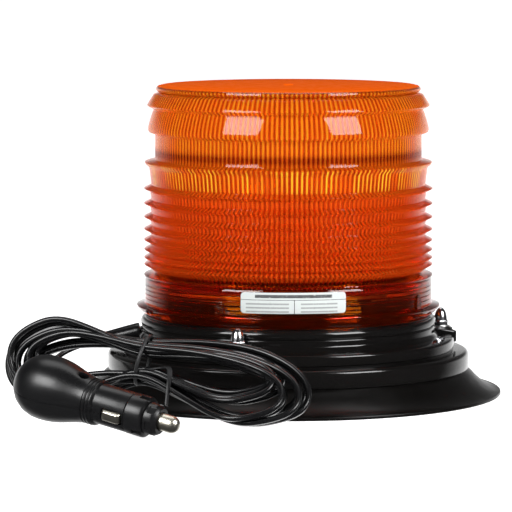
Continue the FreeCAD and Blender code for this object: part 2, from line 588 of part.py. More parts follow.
def build_electronics(plate_top):
    """The circuit board with its parts, and the flash tube on its post."""
    deck = "board_height + board_thick"
    places = circle_points(STANDOFF_COUNT, "standoff_circle", "45")
    board = new_body("circuit_board")
    revolve(board, [("0", "board_height"), ("board_radius", "board_height"),
                    ("board_radius", deck), ("0", deck)])
    doc.recompute()
    bore(board, places, "screw_radius + 0.1", "board_thick + 2", "board_height - 1", flip=True)

    standoffs = []
    screws = []
    for x, y in places:
        pillar = cylinder("standoff_radius", f"board_height - ({plate_top})", (x, y, plate_top))
        hole = cylinder("screw_radius + 0.05", "screw_long", (x, y, "board_height - screw_long + 1"))
        standoffs.append(cut(pillar, hole))
        shank = cylinder("screw_radius", "screw_long", (x, y, f"{deck} - screw_long"))
        head = cylinder("screw_head", "screw_head_high", (x, y, deck))
        screws.append(joined(shank, head))
    keep(group(standoffs), "board_standoffs")
    keep(group(screws), "board_screws")

    post = new_body("tube_post")
    revolve(post, [("0", deck), ("post_foot_radius", deck), ("post_foot_radius", f"{deck} + 2"),
                   ("post_radius + 2", f"{deck} + 5"), ("post_radius", f"{deck} + 14"),
                   ("post_radius - 1.5", "post_top"), ("0", "post_top")])
    socket = new_body("tube_socket")
    socket_top = "post_top + socket_high"
    revolve(socket, [("0", "post_top"), ("socket_radius - 1", "post_top"),
                     ("socket_radius", "post_top + 1"), ("socket_radius", f"{socket_top} - 1"),
                     ("socket_radius - 1", socket_top), ("0", socket_top)])
    doc.recompute()
    legs = [("tube_spread", "0"), ("-tube_spread", "0")]
    bore(socket, legs, "pin_radius + 0.05", "4", f"{socket_top} - 3", flip=True)

    leg_solids = [cylinder("tube_radius", "tube_leg", (x, y, f"{socket_top} + 1"))
                  for x, y in legs]
    arch = shape("Part::Torus", {"Radius1": "tube_spread", "Radius2": "tube_radius"},
                 ("0", "0", f"{socket_top} + 1 + tube_leg"), axis=(1, 0, 0), angle="90")
    arch.Angle3 = 180.0
    keep(joined(*leg_solids, arch), "flash_tube")
    pins = [cylinder("pin_radius", "3.9", (x, y, f"{socket_top} - 2.9")) for x, y in legs]
    keep(group(pins), "tube_electrodes")
    bands = []
    for x, y in legs:
        band = cylinder("tube_radius + band_thick", "band_high", (x, y, f"{socket_top} + 6"))
        bands.append(cut(band, cylinder("tube_radius", "band_high + 2", (x, y, f"{socket_top} + 5"))))
    keep(group(bands), "trigger_bands")

    can = cylinder("capacitor_radius", "capacitor_long",
                   ("-capacitor_long / 2", "-34", f"{deck} + capacitor_radius + 0.2"),
                   axis=(0, 1, 0), angle="90")
    keep(can, "flash_capacitor")
    core = cut(box("core_long", "core_deep", "core_high", ("-core_long / 2", "24", deck)),
               box("core_long - 8", "core_deep + 2", "core_high - 8",
                   ("-(core_long - 8) / 2", "23", f"{deck} + 4")))
    keep(core, "transformer_core")
    winding = cylinder("(core_high - 8) / 2 - 0.2", "core_deep + 4",
                       ("0", "22", f"{deck} + core_high / 2"), axis=(1, 0, 0), angle="-90")
    keep(winding, "transformer_winding")
    keep(cylinder("coil_radius", "coil_high", ("-34", "14", deck)), "trigger_coil")
    sink = cut(box("sink_long", "12", "sink_high", ("26", "-26", deck)),
               box("sink_long - sink_thick * 2", "12", "sink_high",
                   ("26 + sink_thick", "-26 - sink_thick", f"{deck} + sink_thick")))
    keep(sink, "heat_sink")
    keep(box("10", "4.4", "15", ("26 + sink_long / 2 - 5", "-14 - sink_thick - 4.6", f"{deck} + 2")),
         "power_transistor")

    leads = []
    for side in (-1.4, 1.4):
        run = cylinder("0.9", "collar_radius - housing_wall - board_radius + 8",
                       ("-(collar_radius - housing_wall) + 2.6", f"{side}", "boot_height"),
                       axis=(0, 1, 0), angle="90")
        rise = cylinder("0.9", "board_height - boot_height + 0.9",
                        ("-board_radius + 9.6", f"{side}", "boot_height - 0.9"))
        leads.append(joined(run, rise))
    keep(group(leads), "supply_leads")


# ---------------------------------------------------------------------------------------------
# Cord


def tube_wire(points):
    """Straight runs joined by tangent arcs, as large as the runs beside each turn allow."""
    at = [Vector(*point) for point in points]
    edges = []
    start = at[0]
    for i in range(1, len(at) - 1):
        before = (at[i] - at[i - 1])
        after = (at[i + 1] - at[i])
        turn = before.getAngle(after)
        reach = 0.45 * min(before.Length, after.Length)
        radius = reach / math.tan(turn / 2)
        print(f"arc {i}: radius {radius:.1f} mm, turn {math.degrees(turn):.0f} degrees")
        back = before.normalize()
        ahead = after.normalize()
        enter = at[i] - back * reach
        leave = at[i] + ahead * reach
        bisector = (ahead - back).normalize()
        centre = at[i] + bisector * (radius / math.cos(turn / 2))
        middle = centre - bisector * radius
        edges.append(Part.LineSegment(start, enter).toShape())
        edges.append(Part.Arc(enter, middle, leave).toShape())
        start = leave
    edges.append(Part.LineSegment(start, at[-1]).toShape())
    return Part.Wire(edges)


def cord_tube(label, points):
    """A round tube of the cord's width along a route."""
    path = tube_wire(points)
    radius = size_of("cord_width") / 2
    heading = Vector(*points[1]) - Vector(*points[0])
    section = Part.Wire([Part.Circle(Vector(*points[0]), heading, radius).toShape()])
    solid = path.makePipeShell([section], True, False, 2)
    ideal = math.pi * radius ** 2 * path.Length
    print(f"{label}: length {path.Length:.1f} mm, volume {solid.Volume / ideal:.4f} of ideal")
    piece = doc.addObject("Part::Feature", label)
    piece.Shape = solid
    return keep(piece, label)


def build_cord():
    """The boot at the housing, the lead, the tied hank and the tail to the plug."""
    drop = size_of("boot_drop")
    boot = joined(
        shape("Part::Cone", {"Radius1": "boot_root_radius", "Radius2": "boot_tip_radius",
                             "Height": "boot_long"}),
        cylinder("boot_root_radius - 2.2", "housing_wall + 2", ("0", "0", "-(housing_wall + 2)")))
    boot.Placement = Placement(
        Vector(-size_of("collar_radius + 0.3"), 0, size_of("boot_height")),
        Rotation(Vector(0, 1, 0), -90 - drop))
    keep(boot, "cord_boot")
    cord_tube("cord_lead", LEAD_ROUTE)
    cord_tube("cord_tail", TAIL_ROUTE)

    hank = new_body("cord_hank")
    for scale, thick in (("1", "hank_thick - 2 * hank_edge"), ("hank_side", "hank_thick")):
        extrude(hank, "XZ_Plane", [(f"{u} * {scale}", f"{w} * {scale}") for u, w in HANK_OUTLINE],
                thick, midplane=True)
        doc.recompute()
    place = Placement(HANK_PLACE, Rotation(Vector(0, 0, 1), HANK_YAW)
                      * Rotation(Vector(1, 0, 0), -size_of("hank_lean")))
    hank.Placement = place

    waist = 26.0 + 2 * size_of("tie_clear")
    deep = size_of("hank_thick + 2 * tie_clear")
    rim = size_of("tie_thick")
    outer = shape("Part::Box", {"Length": "tie_wide", "Width": f"{deep + 2 * rim}",
                                "Height": f"{waist + 2 * rim}"},
                  ("-tie_wide / 2 - 7", f"{-deep / 2 - rim}", f"{-waist / 2 - rim}"))
    inner = shape("Part::Box", {"Length": "tie_wide + 2", "Width": f"{deep}",
                                "Height": f"{waist}"},
                  ("-tie_wide / 2 - 8", f"{-deep / 2}", f"{-waist / 2}"))
    tie = cut(outer, inner)
    tie.Placement = place
    keep(tie, "cord_tie")


# ---------------------------------------------------------------------------------------------
# 12 V plug, built along Z from the middle of its bulb and then laid down


def build_plug():
    """The two-part shell, its screw and relief, the collar ring, nose, tip, fuse and contacts."""
    place = Placement(
        Vector(size_of("plug_x"), size_of("plug_y"), size_of("plug_z")),
        Rotation(Vector(0, 0, 1), size_of("plug_yaw"))
        * Rotation(Vector(0, 1, 0), 90 + size_of("plug_pitch"))
        * Rotation(Vector(0, 0, 1), size_of("plug_roll")))

    def lay(piece, label):
        piece.Placement = place
        return keep(piece, label)

    def toward_relief(piece, start):
        turn = (Rotation(Vector(0, 0, 1), size_of("relief_turn"))
                * Rotation(Vector(1, 0, 0), size_of("relief_tilt")))
        piece.Placement = Placement(turn.multVec(Vector(0, 0, start)), turn)
        return piece

    inner = "barrel_radius - shell_wall"
    window = "contact_wide + contact_clear * 2"
    halves = []
    for label, side in (("plug_shell_top", 1), ("plug_shell_bottom", -1)):
        shell = doc.addObject("PartDesign::Body", "Shell")
        revolve(shell, [
            ("0", "-bulb_radius"), ("bulb_radius * 0.45", "-bulb_radius * 0.92"),
            ("bulb_radius * 0.8", "-bulb_radius * 0.62"), ("bulb_radius", "-2"),
            ("bulb_radius", "bulb_flat * 0.6"), ("bulb_radius * 0.93", "bulb_flat + 4"),
            ("barrel_radius + 1.6", "barrel_start - 7"), ("barrel_radius", "barrel_start"),
            ("barrel_radius", "barrel_end"), (inner, "barrel_end"), (inner, "barrel_start - 6"),
            ("bulb_radius - shell_wall * 1.6", "bulb_flat"),
            ("bulb_radius - shell_wall * 1.6", "-4"), ("0", "-bulb_radius + shell_wall")])
        shell_cutter = box("bulb_radius * 2 + 4", "bulb_radius * 2 + 4", "barrel_end + bulb_radius + 4",
                           (f"{'-(bulb_radius * 2 + 4) + shell_gap / 2' if side > 0 else '-shell_gap / 2'}",
                            "-bulb_radius - 2", "-bulb_radius - 2"))
        slots = box("barrel_radius", "barrel_radius * 2 + 4",
                    "contact_high - contact_low + contact_clear * 2",
                    (f"-({window}) / 2", "-barrel_radius - 2", "contact_low - contact_clear"))
        bind(slots, {"Length": window})
        screw_hole = cylinder("2.6", "bulb_radius", ("4" if side > 0 else "-bulb_radius - 4", "0",
                                                      "plug_screw_at"), axis=(0, 1, 0), angle="90")
        neck = toward_relief(group([cylinder("relief_radius - 1.4", "bulb_radius")]), 0)
        seat = toward_relief(group([cylinder("relief_radius + 0.1", "bulb_radius")]),
                             size_of("bulb_radius - 1.3"))
        halves.append((shell, label, [shell_cutter, slots, screw_hole, neck, seat]))
    for shell, label, tools in halves:
        lay(cut(shell, *tools), label)

    screw = joined(cylinder("1.5", "13", ("-7", "0", "plug_screw_at"), axis=(0, 1, 0), angle="90"),
                   cylinder("2.5", "1.8", ("6", "0", "plug_screw_at"), axis=(0, 1, 0), angle="90"))
    lay(screw, "plug_shell_screw")
    relief = joined(
        shape("Part::Cone", {"Radius1": "relief_radius", "Radius2": "relief_radius * 0.78",
                             "Height": "relief_long"}),
        cylinder("relief_radius - 1.6", "3", ("0", "0", "-3")))
    lay(group([toward_relief(relief, size_of("bulb_radius - 1.2"))]), "plug_relief")
    tip = place.multVec(relief.Placement.multVec(Vector(0, 0, size_of("relief_long"))))
    print("the relief ends at", tip, "heading",
          place.Rotation.multVec(relief.Placement.Rotation.multVec(Vector(0, 0, 1))))
    return lay


def build_plug_front(lay):
    """The collar ring, nose cap, tip, fuse, spring and side contacts."""
    ring = doc.addObject("PartDesign::Body", "Ring")
    revolve(ring, [
        ("nose_radius - 2.4", "barrel_end + 0.1"), ("collar_ring_radius - 0.4", "barrel_end + 0.1"),
        ("collar_ring_radius", "barrel_end + 0.6"), ("collar_ring_radius", "collar_ring_end - 1"),
        ("collar_ring_radius - 1", "collar_ring_end"), ("nose_radius - 2.4", "collar_ring_end")])
    doc.recompute()
    notch = extrude(ring, "XY_Plane", [
        ("collar_ring_radius - 1.3", "-1.6"), ("collar_ring_radius + 2", "-1.6"),
        ("collar_ring_radius + 2", "1.6"), ("collar_ring_radius - 1.3", "1.6")],
        "6", lift="collar_ring_end - 5", kind="PartDesign::Pocket", flip=True)
    doc.recompute()
    repeat(ring, [notch], NOTCH_COUNT)
    lay(ring, "plug_collar_ring")

    nose = doc.addObject("PartDesign::Body", "Nose")
    revolve(nose, [
        ("tip_radius + tip_clear", "collar_ring_end + 0.3"), ("nose_radius", "collar_ring_end + 0.3"),
        ("nose_radius", "nose_end - 3"), ("nose_radius - 1.6", "nose_end"),
        ("tip_radius + tip_clear", "nose_end")])
    lay(nose, "plug_nose_cap")

    tip = doc.addObject("PartDesign::Body", "Tip")
    revolve(tip, [
        ("0", "nose_end - 9"), ("tip_radius", "nose_end - 9"), ("tip_radius", "tip_end - 3.4"),
        ("tip_radius * 0.86", "tip_end - 1.6"), ("tip_radius * 0.5", "tip_end - 0.4"),
        ("0", "tip_end")])
    lay(tip, "plug_tip")
    fuse_low = "nose_end - 9 - fuse_long"
    lay(group([cylinder("fuse_radius", "fuse_long", ("0", "0", fuse_low))]), "plug_fuse")
    spring = cut(cylinder("fuse_radius - 0.2", "2.8", ("0", "0", f"{fuse_low} - 2.8")),
                 cylinder("fuse_radius - 1.4", "10", ("0", "0", f"{fuse_low} - 8")))
    lay(spring, "plug_tip_spring")

    for label, side in (("plug_contact_front", 1), ("plug_contact_back", -1)):
        out = "barrel_radius + contact_out"
        plate = box("contact_wide", "contact_out + shell_wall", "contact_high - contact_low",
                    ("-contact_wide / 2",
                     "barrel_radius - shell_wall" if side > 0 else f"-({out})", "contact_low"))
        trims = []
        for at in ("contact_low - 1", "contact_high - 2"):
            trims.append(box("contact_wide + 2", "1", "3",
                             ("-contact_wide / 2 - 1",
                              f"{out} - 0.7" if side > 0 else f"-({out}) - 0.3", at)))
        lay(cut(plate, *trims), label)


stud_places = build_mount()
plate_level = build_housing(stud_places)
build_lens()
build_electronics(plate_level)
build_cord()
build_plug_front(build_plug())
doc.recompute()

faults = []
for item in doc.Objects:
    if "Invalid" in item.State or "Error" in item.State:
        faults.append(f"{item.Label}: {item.State}")
for node in nodes:
    if node.Shape.isNull() or not node.Shape.isValid():
        faults.append(f"{node.Label}: null or invalid shape")
if faults:
    raise RuntimeError("\n".join(faults))

os.makedirs("parts", exist_ok=True)
for node in nodes:
    node.Shape.exportStep(f"parts/{node.Label}.step")
    limits = node.Shape.BoundBox
    print(f"{node.Label}: {len(node.Shape.Solids)} solid(s), volume {node.Shape.Volume:.0f}, "
          f"x {limits.XMin:.1f}..{limits.XMax:.1f} y {limits.YMin:.1f}..{limits.YMax:.1f} "
          f"z {limits.ZMin:.1f}..{limits.ZMax:.1f}")
print(len(nodes), "nodes")
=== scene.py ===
"""An amber strobe beacon on a magnetic suction mount, with its hank of flat cord and its 12 V plug.

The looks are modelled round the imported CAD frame, in its own axes: +Z is up and -Y is the front.
Sizes are given in millimetres, as in the part's source, and are turned to metres by MM.
"""
from __future__ import annotations

import logging
import math
from dataclasses import dataclass, field
from enum import Enum
from typing import Sequence

import bpy
from mathutils import Matrix, Vector


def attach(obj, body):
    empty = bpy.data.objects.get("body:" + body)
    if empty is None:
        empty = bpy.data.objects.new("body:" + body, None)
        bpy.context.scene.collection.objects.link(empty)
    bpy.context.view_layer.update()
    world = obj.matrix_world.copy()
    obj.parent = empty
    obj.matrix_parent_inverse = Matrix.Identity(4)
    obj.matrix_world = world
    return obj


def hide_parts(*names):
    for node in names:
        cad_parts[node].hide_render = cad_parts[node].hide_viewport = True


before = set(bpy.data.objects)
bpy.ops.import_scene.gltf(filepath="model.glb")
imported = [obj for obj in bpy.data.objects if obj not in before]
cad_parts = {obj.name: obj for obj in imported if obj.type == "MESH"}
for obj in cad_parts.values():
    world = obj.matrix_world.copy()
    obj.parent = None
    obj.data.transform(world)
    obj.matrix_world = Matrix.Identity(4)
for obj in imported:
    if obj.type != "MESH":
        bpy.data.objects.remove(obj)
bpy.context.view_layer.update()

MM = 0.001
Colour = tuple[float, float, float]
Profile = list[tuple[float, float]]
log = logging.getLogger("beacon")


class Body(Enum):
    """The bodies of the CAD model that pieces ride on."""

    BASE = "base"
    LENS = "lens"
    NOSE = "plug_nose"
    TIP = "plug_tip"
    CONTACT_FRONT = "plug_contact_front"
    CONTACT_BACK = "plug_contact_back"


# --------------------------------------------------------------------------------------------
# Shader building


class Wire:
    """A value in a node tree, which Python's operators turn into Math nodes."""

    def __init__(self, tree: bpy.types.NodeTree, socket: bpy.types.NodeSocket) -> None:
        """Keep the tree and the output socket."""
        self.tree = tree
        self.socket = socket

    def math(self, operation: str, other: "Wire | float", swapped: bool = False) -> "Wire":
        """Add a Math node.

        Args:
            operation: The node's operation.
            other: The second value.
            swapped: True if the other value comes first.

        Returns:
            The node's output.
        """
        node = self.tree.nodes.new("ShaderNodeMath")
        node.operation = operation
        pair = (other, self) if swapped else (self, other)
        for socket, value in zip(node.inputs, pair):
            if isinstance(value, Wire):
                self.tree.links.new(value.socket, socket)
            else:
                socket.default_value = value
        return Wire(self.tree, node.outputs[0])

    def __add__(self, other: "Wire | float") -> "Wire":
        """Add."""
        return self.math("ADD", other)

    def __sub__(self, other: "Wire | float") -> "Wire":
        """Subtract."""
        return self.math("SUBTRACT", other)

    def __rsub__(self, other: float) -> "Wire":
        """Subtract from a number."""
        return self.math("SUBTRACT", other, swapped=True)

    def __mul__(self, other: "Wire | float") -> "Wire":
        """Multiply."""
        return self.math("MULTIPLY", other)

    def __truediv__(self, other: "Wire | float") -> "Wire":
        """Divide."""
        return self.math("DIVIDE", other)

    def __lt__(self, other: "Wire | float") -> "Wire":
        """One where this is the smaller."""
        return self.math("LESS_THAN", other)

    def __mod__(self, other: "Wire | float") -> "Wire":
        """The remainder, never below zero."""
        return self.math("FLOORED_MODULO", other)


class Shader:
    """One material and the nodes that feed its Principled shader."""

    def __init__(self, name: str) -> None:
        """Start the material.

        Args:
            name: The material's name.
        """
        self.material = bpy.data.materials.new(name)
        self.material.use_nodes = True
        self.tree = self.material.node_tree
        self.tree.nodes.clear()
        self.surface = self.tree.nodes.new("ShaderNodeBsdfPrincipled")
        out = self.tree.nodes.new("ShaderNodeOutputMaterial")
        self.tree.links.new(self.surface.outputs[0], out.inputs[0])

    def node(self, kind: str, settings: dict | None = None, values: dict | None = None
             ) -> bpy.types.Node:
        """Add any node.

        Args:
            kind: The node's type, without its "ShaderNode" prefix.
            settings: Properties set before the sockets.
            values: Sockets by name or number, each a number, a colour or a Wire.

        Returns:
            The new node.
        """
        node = self.tree.nodes.new("ShaderNode" + kind)
        for name, value in (settings or {}).items():
            setattr(node, name, value)
        for name, value in (values or {}).items():
            self.feed(node.inputs[name], value)
        return node

    def feed(self, socket: bpy.types.NodeSocket, value: "Wire | float | Sequence[float]") -> None:
        """Set a socket or link it.

        Args:
            socket: The input socket.
            value: A Wire to link, or the constant to set.
        """
        if isinstance(value, Wire):
            self.tree.links.new(value.socket, socket)
        elif hasattr(value, "__len__") and socket.type == "RGBA" and len(value) == 3:
            socket.default_value = (*value, 1.0)
        else:
            socket.default_value = value

    def set(self, **values: "Wire | float | Sequence[float]") -> "Shader":
        """Set or link the Principled shader's sockets, named with underscores for spaces."""
        for name, value in values.items():
            self.feed(self.surface.inputs[name.replace("_", " ")], value)
        return self

    def place(self, stretch: Sequence[float] = (1, 1, 1)) -> Wire:
        """The Object coordinates, stretched.

        Args:
            stretch: The scale along each axis.

        Returns:
            The coordinates in metres times the stretch.
        """
        source = self.node("TexCoord")
        mapped = self.node("Mapping", None, {"Vector": Wire(self.tree, source.outputs["Object"]),
                                             "Scale": stretch})
        return Wire(self.tree, mapped.outputs[0])

    def axes(self) -> tuple[Wire, Wire, Wire]:
        """The three Object coordinates, in metres."""
        source = self.node("TexCoord")
        split = self.node("SeparateXYZ", None, {0: Wire(self.tree, source.outputs["Object"])})
        return tuple(Wire(self.tree, split.outputs[i]) for i in range(3))

    def noise(self, size: float, detail: float = 3.0, stretch: Sequence[float] = (1, 1, 1)) -> Wire:
        """Cloudy noise from 0 to 1.

        Args:
            size: The size of a cloud in millimetres.
            detail: How many finer octaves it has.
            stretch: The scale along each axis.

        Returns:
            The noise.
        """
        node = self.node("TexNoise", None, {"Vector": self.place(stretch), "Scale": 1 / (size * MM),
                                            "Detail": detail})
        return Wire(self.tree, node.outputs[0])

    def blend(self, factor: "Wire | float", low: "Wire | Colour", high: "Wire | Colour") -> Wire:
        """A colour between two others.

        Args:
            factor: 0 for the first and 1 for the second.
            low: The first colour.
            high: The second colour.

        Returns:
            The colour.
        """
        node = self.node("Mix", {"data_type": "RGBA"}, {0: factor, 6: low, 7: high})
        return Wire(self.tree, node.outputs[2])

    def spread(self, value: Wire, low: float, high: float) -> Wire:
        """Stretch what lies between two values to run from 0 to 1, clamped.

        Args:
            value: The value.
            low: What becomes 0.
            high: What becomes 1.

        Returns:
            The stretched value.
        """
        node = self.node("MapRange", {"clamp": True}, {0: value, 1: low, 2: high, 3: 0.0, 4: 1.0})
        return Wire(self.tree, node.outputs[0])

    def relief(self, height: Wire, depth: float, strength: float = 1.0) -> None:
        """Raise the surface by a height from 0 to 1.

        Args:
            height: The height.
            depth: The depth of 1, in millimetres.
            strength: How much of it shows.
        """
        node = self.node("Bump", None, {"Strength": strength, "Distance": depth * MM,
                                        "Height": height})
        self.set(Normal=Wire(self.tree, node.outputs[0]))


# --------------------------------------------------------------------------------------------
# Finishes


@dataclass(frozen=True)
class AmberPolycarbonate:
    """Amber moulding: a frosted lid and inner flutes, with painted light and shade in the frosted
    tone and a foot darkened with painted shade.
    """

    name: str = "amber_polycarbonate"
    skin: Colour = (0.99, 0.74, 0.16)
    # Painted shade: the foot's darker tint stands for the black housing seen through the lens.
    foot: Colour = (0.62, 0.16, 0.02)
    lid: Colour = (1.0, 0.13, 0.003)
    # Painted shade in the flute grooves and painted light on the crests, lighter still higher up.
    painted_groove_shade: Colour = (0.90, 0.055, 0.004)
    painted_crest_light: Colour = (0.99, 0.125, 0.008)
    painted_upper_crest_light: Colour = (1.0, 0.34, 0.014)
    # Painted highlight tone for the bright band on the flute crests.
    painted_highlight_tone: Colour = (1.0, 0.58, 0.03)
    shade: Colour = (0.20, 0.006, 0.001)
    body: Colour = (0.985, 0.80, 0.08)
    density: float = 820.0
    flutes: int = 180

    @staticmethod
    def band(s: Shader, z: Wire, low: float, high: float, soft: float = 0.8) -> Wire:
        """One between two heights in millimetres, nought beyond them.

        Args:
            s: The material.
            z: The height.
            low: The band's lower edge.
            high: The band's upper edge.
            soft: How far each edge fades.

        Returns:
            The band's strength.
        """
        return (s.spread(z, (low - soft) * MM, low * MM)
                * (1.0 - s.spread(z, high * MM, (high + soft) * MM)))

    def make(self) -> bpy.types.Material:
        """The finished material."""
        s = Shader(self.name)
        x, y, z = s.axes()
        lid = s.spread(z, 165.2 * MM, 166.0 * MM)
        # Painted shade: below 63 mm the amber darkens, in upright streaks, for the black housing
        # seen through it.
        foot = 1.0 - s.spread(z, 62.8 * MM, 63.6 * MM)
        painted_shade_streaks = s.spread(s.noise(1.1, 2, (0.03, 0.03, 1)), 0.36, 0.62)
        crest = 0.5 - (y.math("ARCTAN2", x) * float(self.flutes)).math("COSINE", 0.0) * 0.5
        fluted = self.band(s, z, 67.0, 164.6)
        # Painted light: the crests' tone lightens from 106 to 133 mm up.
        upper = s.spread(z, 106.0 * MM, 133.0 * MM)
        glow = s.spread(s.noise(8, 1, (1, 1, 0.12)), 0.38, 0.62)
        # Painted highlight: a band on the flute crests from 113.6 to 124.4 mm up, in patches.
        lit = self.band(s, z, 113.6, 124.4) * s.spread(crest, 0.55, 0.95) * glow
        shaded = self.band(s, z, 129.0, 131.0, 3.4) * (1.0 - crest * 0.3)
        # Painted shade: near-black dashes on the flute crests from 64.9 to 66.6 mm up.
        painted_shade_dashes = self.band(s, z, 64.9, 66.6, 0.3) * s.spread(crest, 0.35, 0.6)
        s.set(Base_Color=s.blend(foot * (painted_shade_streaks * 0.75 + 0.2), self.skin, self.foot),
              Transmission_Weight=1.0, IOR=1.5,
              Roughness=s.spread(s.noise(5, 3), 0.3, 0.8) * 0.03 + 0.012 + lid * 0.25)
        s.relief(s.noise(9, 2, (1, 1, 0.5)), 0.04, 0.25)
        # Painted light and shade across each flute: lighter on the crests, darker in the grooves.
        painted_crest_light = s.blend(upper * (glow * 0.4 + 0.6), self.painted_crest_light, self.painted_upper_crest_light)
        tone = s.blend(lit, s.blend(crest, self.painted_groove_shade, painted_crest_light), self.painted_highlight_tone)
        tone = s.blend(shaded, tone, self.shade)
        # The painted shade dashes turn the tone near black.
        tone = s.blend(painted_shade_dashes, tone, (0.02, 0.004, 0.001))
        frosted = s.node("BsdfPrincipled", None, {
            "Base Color": s.blend(lid, tone, self.lid), "Roughness": 0.5,
            "Specular IOR Level": 0.0})
        # How much of the frosted tone shows: real frost on the flutes and lid, and more where
        # painted highlight and painted shade lie.
        haze = (fluted * (crest * 0.26 + 0.21 + upper * 0.03) + lit * 0.12 + shaded * 0.24
                + lid * 0.94 + painted_shade_dashes * 0.4 + 0.02)
        skin = s.node("MixShader", None, {0: haze, 1: Wire(s.tree, s.surface.outputs[0]),
                                          2: Wire(s.tree, frosted.outputs[0])})
        depth = s.node("VolumeAbsorption", None, {"Color": self.body, "Density": self.density})
        out = next(n for n in s.tree.nodes if n.type == "OUTPUT_MATERIAL")
        s.feed(out.inputs["Surface"], Wire(s.tree, skin.outputs[0]))
        s.feed(out.inputs["Volume"], Wire(s.tree, depth.outputs[0]))
        return s.material


@dataclass(frozen=True)
class Moulding:
    """Black moulded plastic or enamel, glossy or satin."""

    name: str
    colour: Colour = (0.006, 0.0055, 0.0053)
    gloss: float = 0.08
    haze: float = 0.08
    grain: float = 0.6
    grain_depth: float = 0.01
    wave: float = 12.0
    wave_depth: float = 0.02

    def make(self) -> bpy.types.Material:
        """The finished material."""
        s = Shader(self.name)
        cloud = s.spread(s.noise(24, 4), 0.35, 0.75)
        fine = s.noise(self.grain, 2)
        dust = s.spread(s.noise(1.6, 5), 0.62, 0.78)
        lighter = tuple(c * 2.2 + 0.004 for c in self.colour)
        s.set(Base_Color=s.blend(dust * 0.35, self.colour, lighter),
              Roughness=cloud * self.haze + self.gloss, IOR=1.5)
        s.relief(fine * self.grain_depth + s.noise(self.wave, 1) * self.wave_depth, 1.0, 1.0)
        return s.material


@dataclass(frozen=True)
class Rubber:
    """Satin black rubber with a fine skin and a little dust in it."""

    name: str
    colour: Colour = (0.0032, 0.0028, 0.0026)
    roughness: float = 0.28

    def make(self) -> bpy.types.Material:
        """The finished material."""
        s = Shader(self.name)
        dust = s.spread(s.noise(4, 6), 0.55, 0.8)
        s.set(Base_Color=s.blend(dust * 0.3, self.colour, (0.013, 0.012, 0.0115)),
              Roughness=s.spread(s.noise(14, 4), 0.3, 0.7) * 0.1 + self.roughness,
              Specular_IOR_Level=0.28)
        s.relief(s.noise(0.35, 3) * 0.02 + s.noise(7, 2) * 0.05, 1.0, 0.7)
        return s.material


@dataclass(frozen=True)
class Metal:
    """Plated, bare or wound metal."""

    name: str
    colour: Colour
    roughness: float = 0.12
    haze: float = 0.1
    tarnish: Colour = (0.2, 0.19, 0.17)
    brushed: Sequence[float] = (1, 1, 1)

    def make(self) -> bpy.types.Material:
        """The finished material."""
        s = Shader(self.name)
        stain = s.spread(s.noise(3, 5), 0.55, 0.85)
        s.set(Base_Color=s.blend(stain * 0.4, self.colour, self.tarnish), Metallic=1.0,
              Roughness=s.noise(1.2, 4, self.brushed) * self.haze + self.roughness)
        s.relief(s.noise(0.5, 3, self.brushed), 0.012, 0.5)
        return s.material


@dataclass(frozen=True)
class PlainGlass:
    """Clear glass with a faint smoke in random clouds."""

    name: str = "tube_glass"

    def make(self) -> bpy.types.Material:
        """The finished material."""
        s = Shader(self.name)
        s.set(Base_Color=s.blend(s.noise(8, 2), (0.97, 0.98, 1.0), (0.86, 0.87, 0.88)),
              Transmission_Weight=1.0, IOR=1.47, Roughness=s.noise(4, 2) * 0.02)
        return s.material


@dataclass(frozen=True)
class Laminate:
    """Green solder mask over copper tracks."""

    name: str = "board_laminate"

    def make(self) -> bpy.types.Material:
        """The finished material."""
        s = Shader(self.name)
        cells = s.node("TexVoronoi", {"feature": "DISTANCE_TO_EDGE", "distance": "MANHATTAN"},
                       {"Vector": s.place((1, 1, 0)), "Scale": 140.0})
        track = s.spread(Wire(s.tree, cells.outputs[0]), 0.02, 0.06)
        s.set(Base_Color=s.blend(track, (0.07, 0.22, 0.06), (0.012, 0.085, 0.03)),
              Roughness=s.noise(3, 2) * 0.15 + 0.2, Coat_Weight=0.5)
        s.relief(1 - track, 0.03, 0.6)
        return s.material


@dataclass(frozen=True)
class WhiteVinyl:
    """White printed vinyl with thin grey rules and no words."""

    name: str = "white_vinyl"
    low: float = 51.1
    high: float = 62.1

    def make(self) -> bpy.types.Material:
        """The finished material."""
        s = Shader(self.name)
        x, y, z = s.axes()
        up = z / MM
        turn = x.math("ARCTAN2", 0 - y) * (180 / math.pi)

        def near(value: Wire, at: float, half: float) -> Wire:
            """One within a half width of a value."""
            return (value - at).math("ABSOLUTE", 0.0) < half

        heading = near(up, self.high - 2.0, 0.85) * near(turn, 1.6, 15.0)
        rule = near(up, self.high - 3.9, 0.16)
        split = near(turn, 1.9, 0.16) * (up < self.high - 3.9)
        rows = near((up - self.low) % 2.0, 1.0, 0.42) * (up < self.high - 4.6)
        sides = near(turn, -8.6, 8.4) + near(turn, 11.6, 7.2)
        worn = s.spread(s.noise(0.9, 3), 0.3, 0.42) * 0.6 + 0.4
        ink = (heading * 0.9 + rule * 0.9 + split * 0.9 + rows * sides * 0.5) * worn
        white, black = (0.62, 0.66, 0.65), (0.03, 0.03, 0.035)
        s.set(Base_Color=s.blend(ink.math("MINIMUM", 1.0), white, black),
              Roughness=s.noise(3, 3) * 0.15 + 0.22, Coat_Weight=0.3)
        s.relief(s.noise(6, 2), 0.04, 0.5)
        return s.material


@dataclass(frozen=True)
class PaleFloor:
    """The studio's pale floor."""

    name: str = "studio_floor"

    def make(self) -> bpy.types.Material:
        """The finished material."""
        s = Shader(self.name)
        s.set(Base_Color=s.blend(s.noise(300, 2), (0.90, 0.90, 0.90), (0.93, 0.93, 0.93)),
              Roughness=0.6, Specular_IOR_Level=0.2, Emission_Color=(1.0, 1.0, 1.0),
              Emission_Strength=1.0)
        return s.material


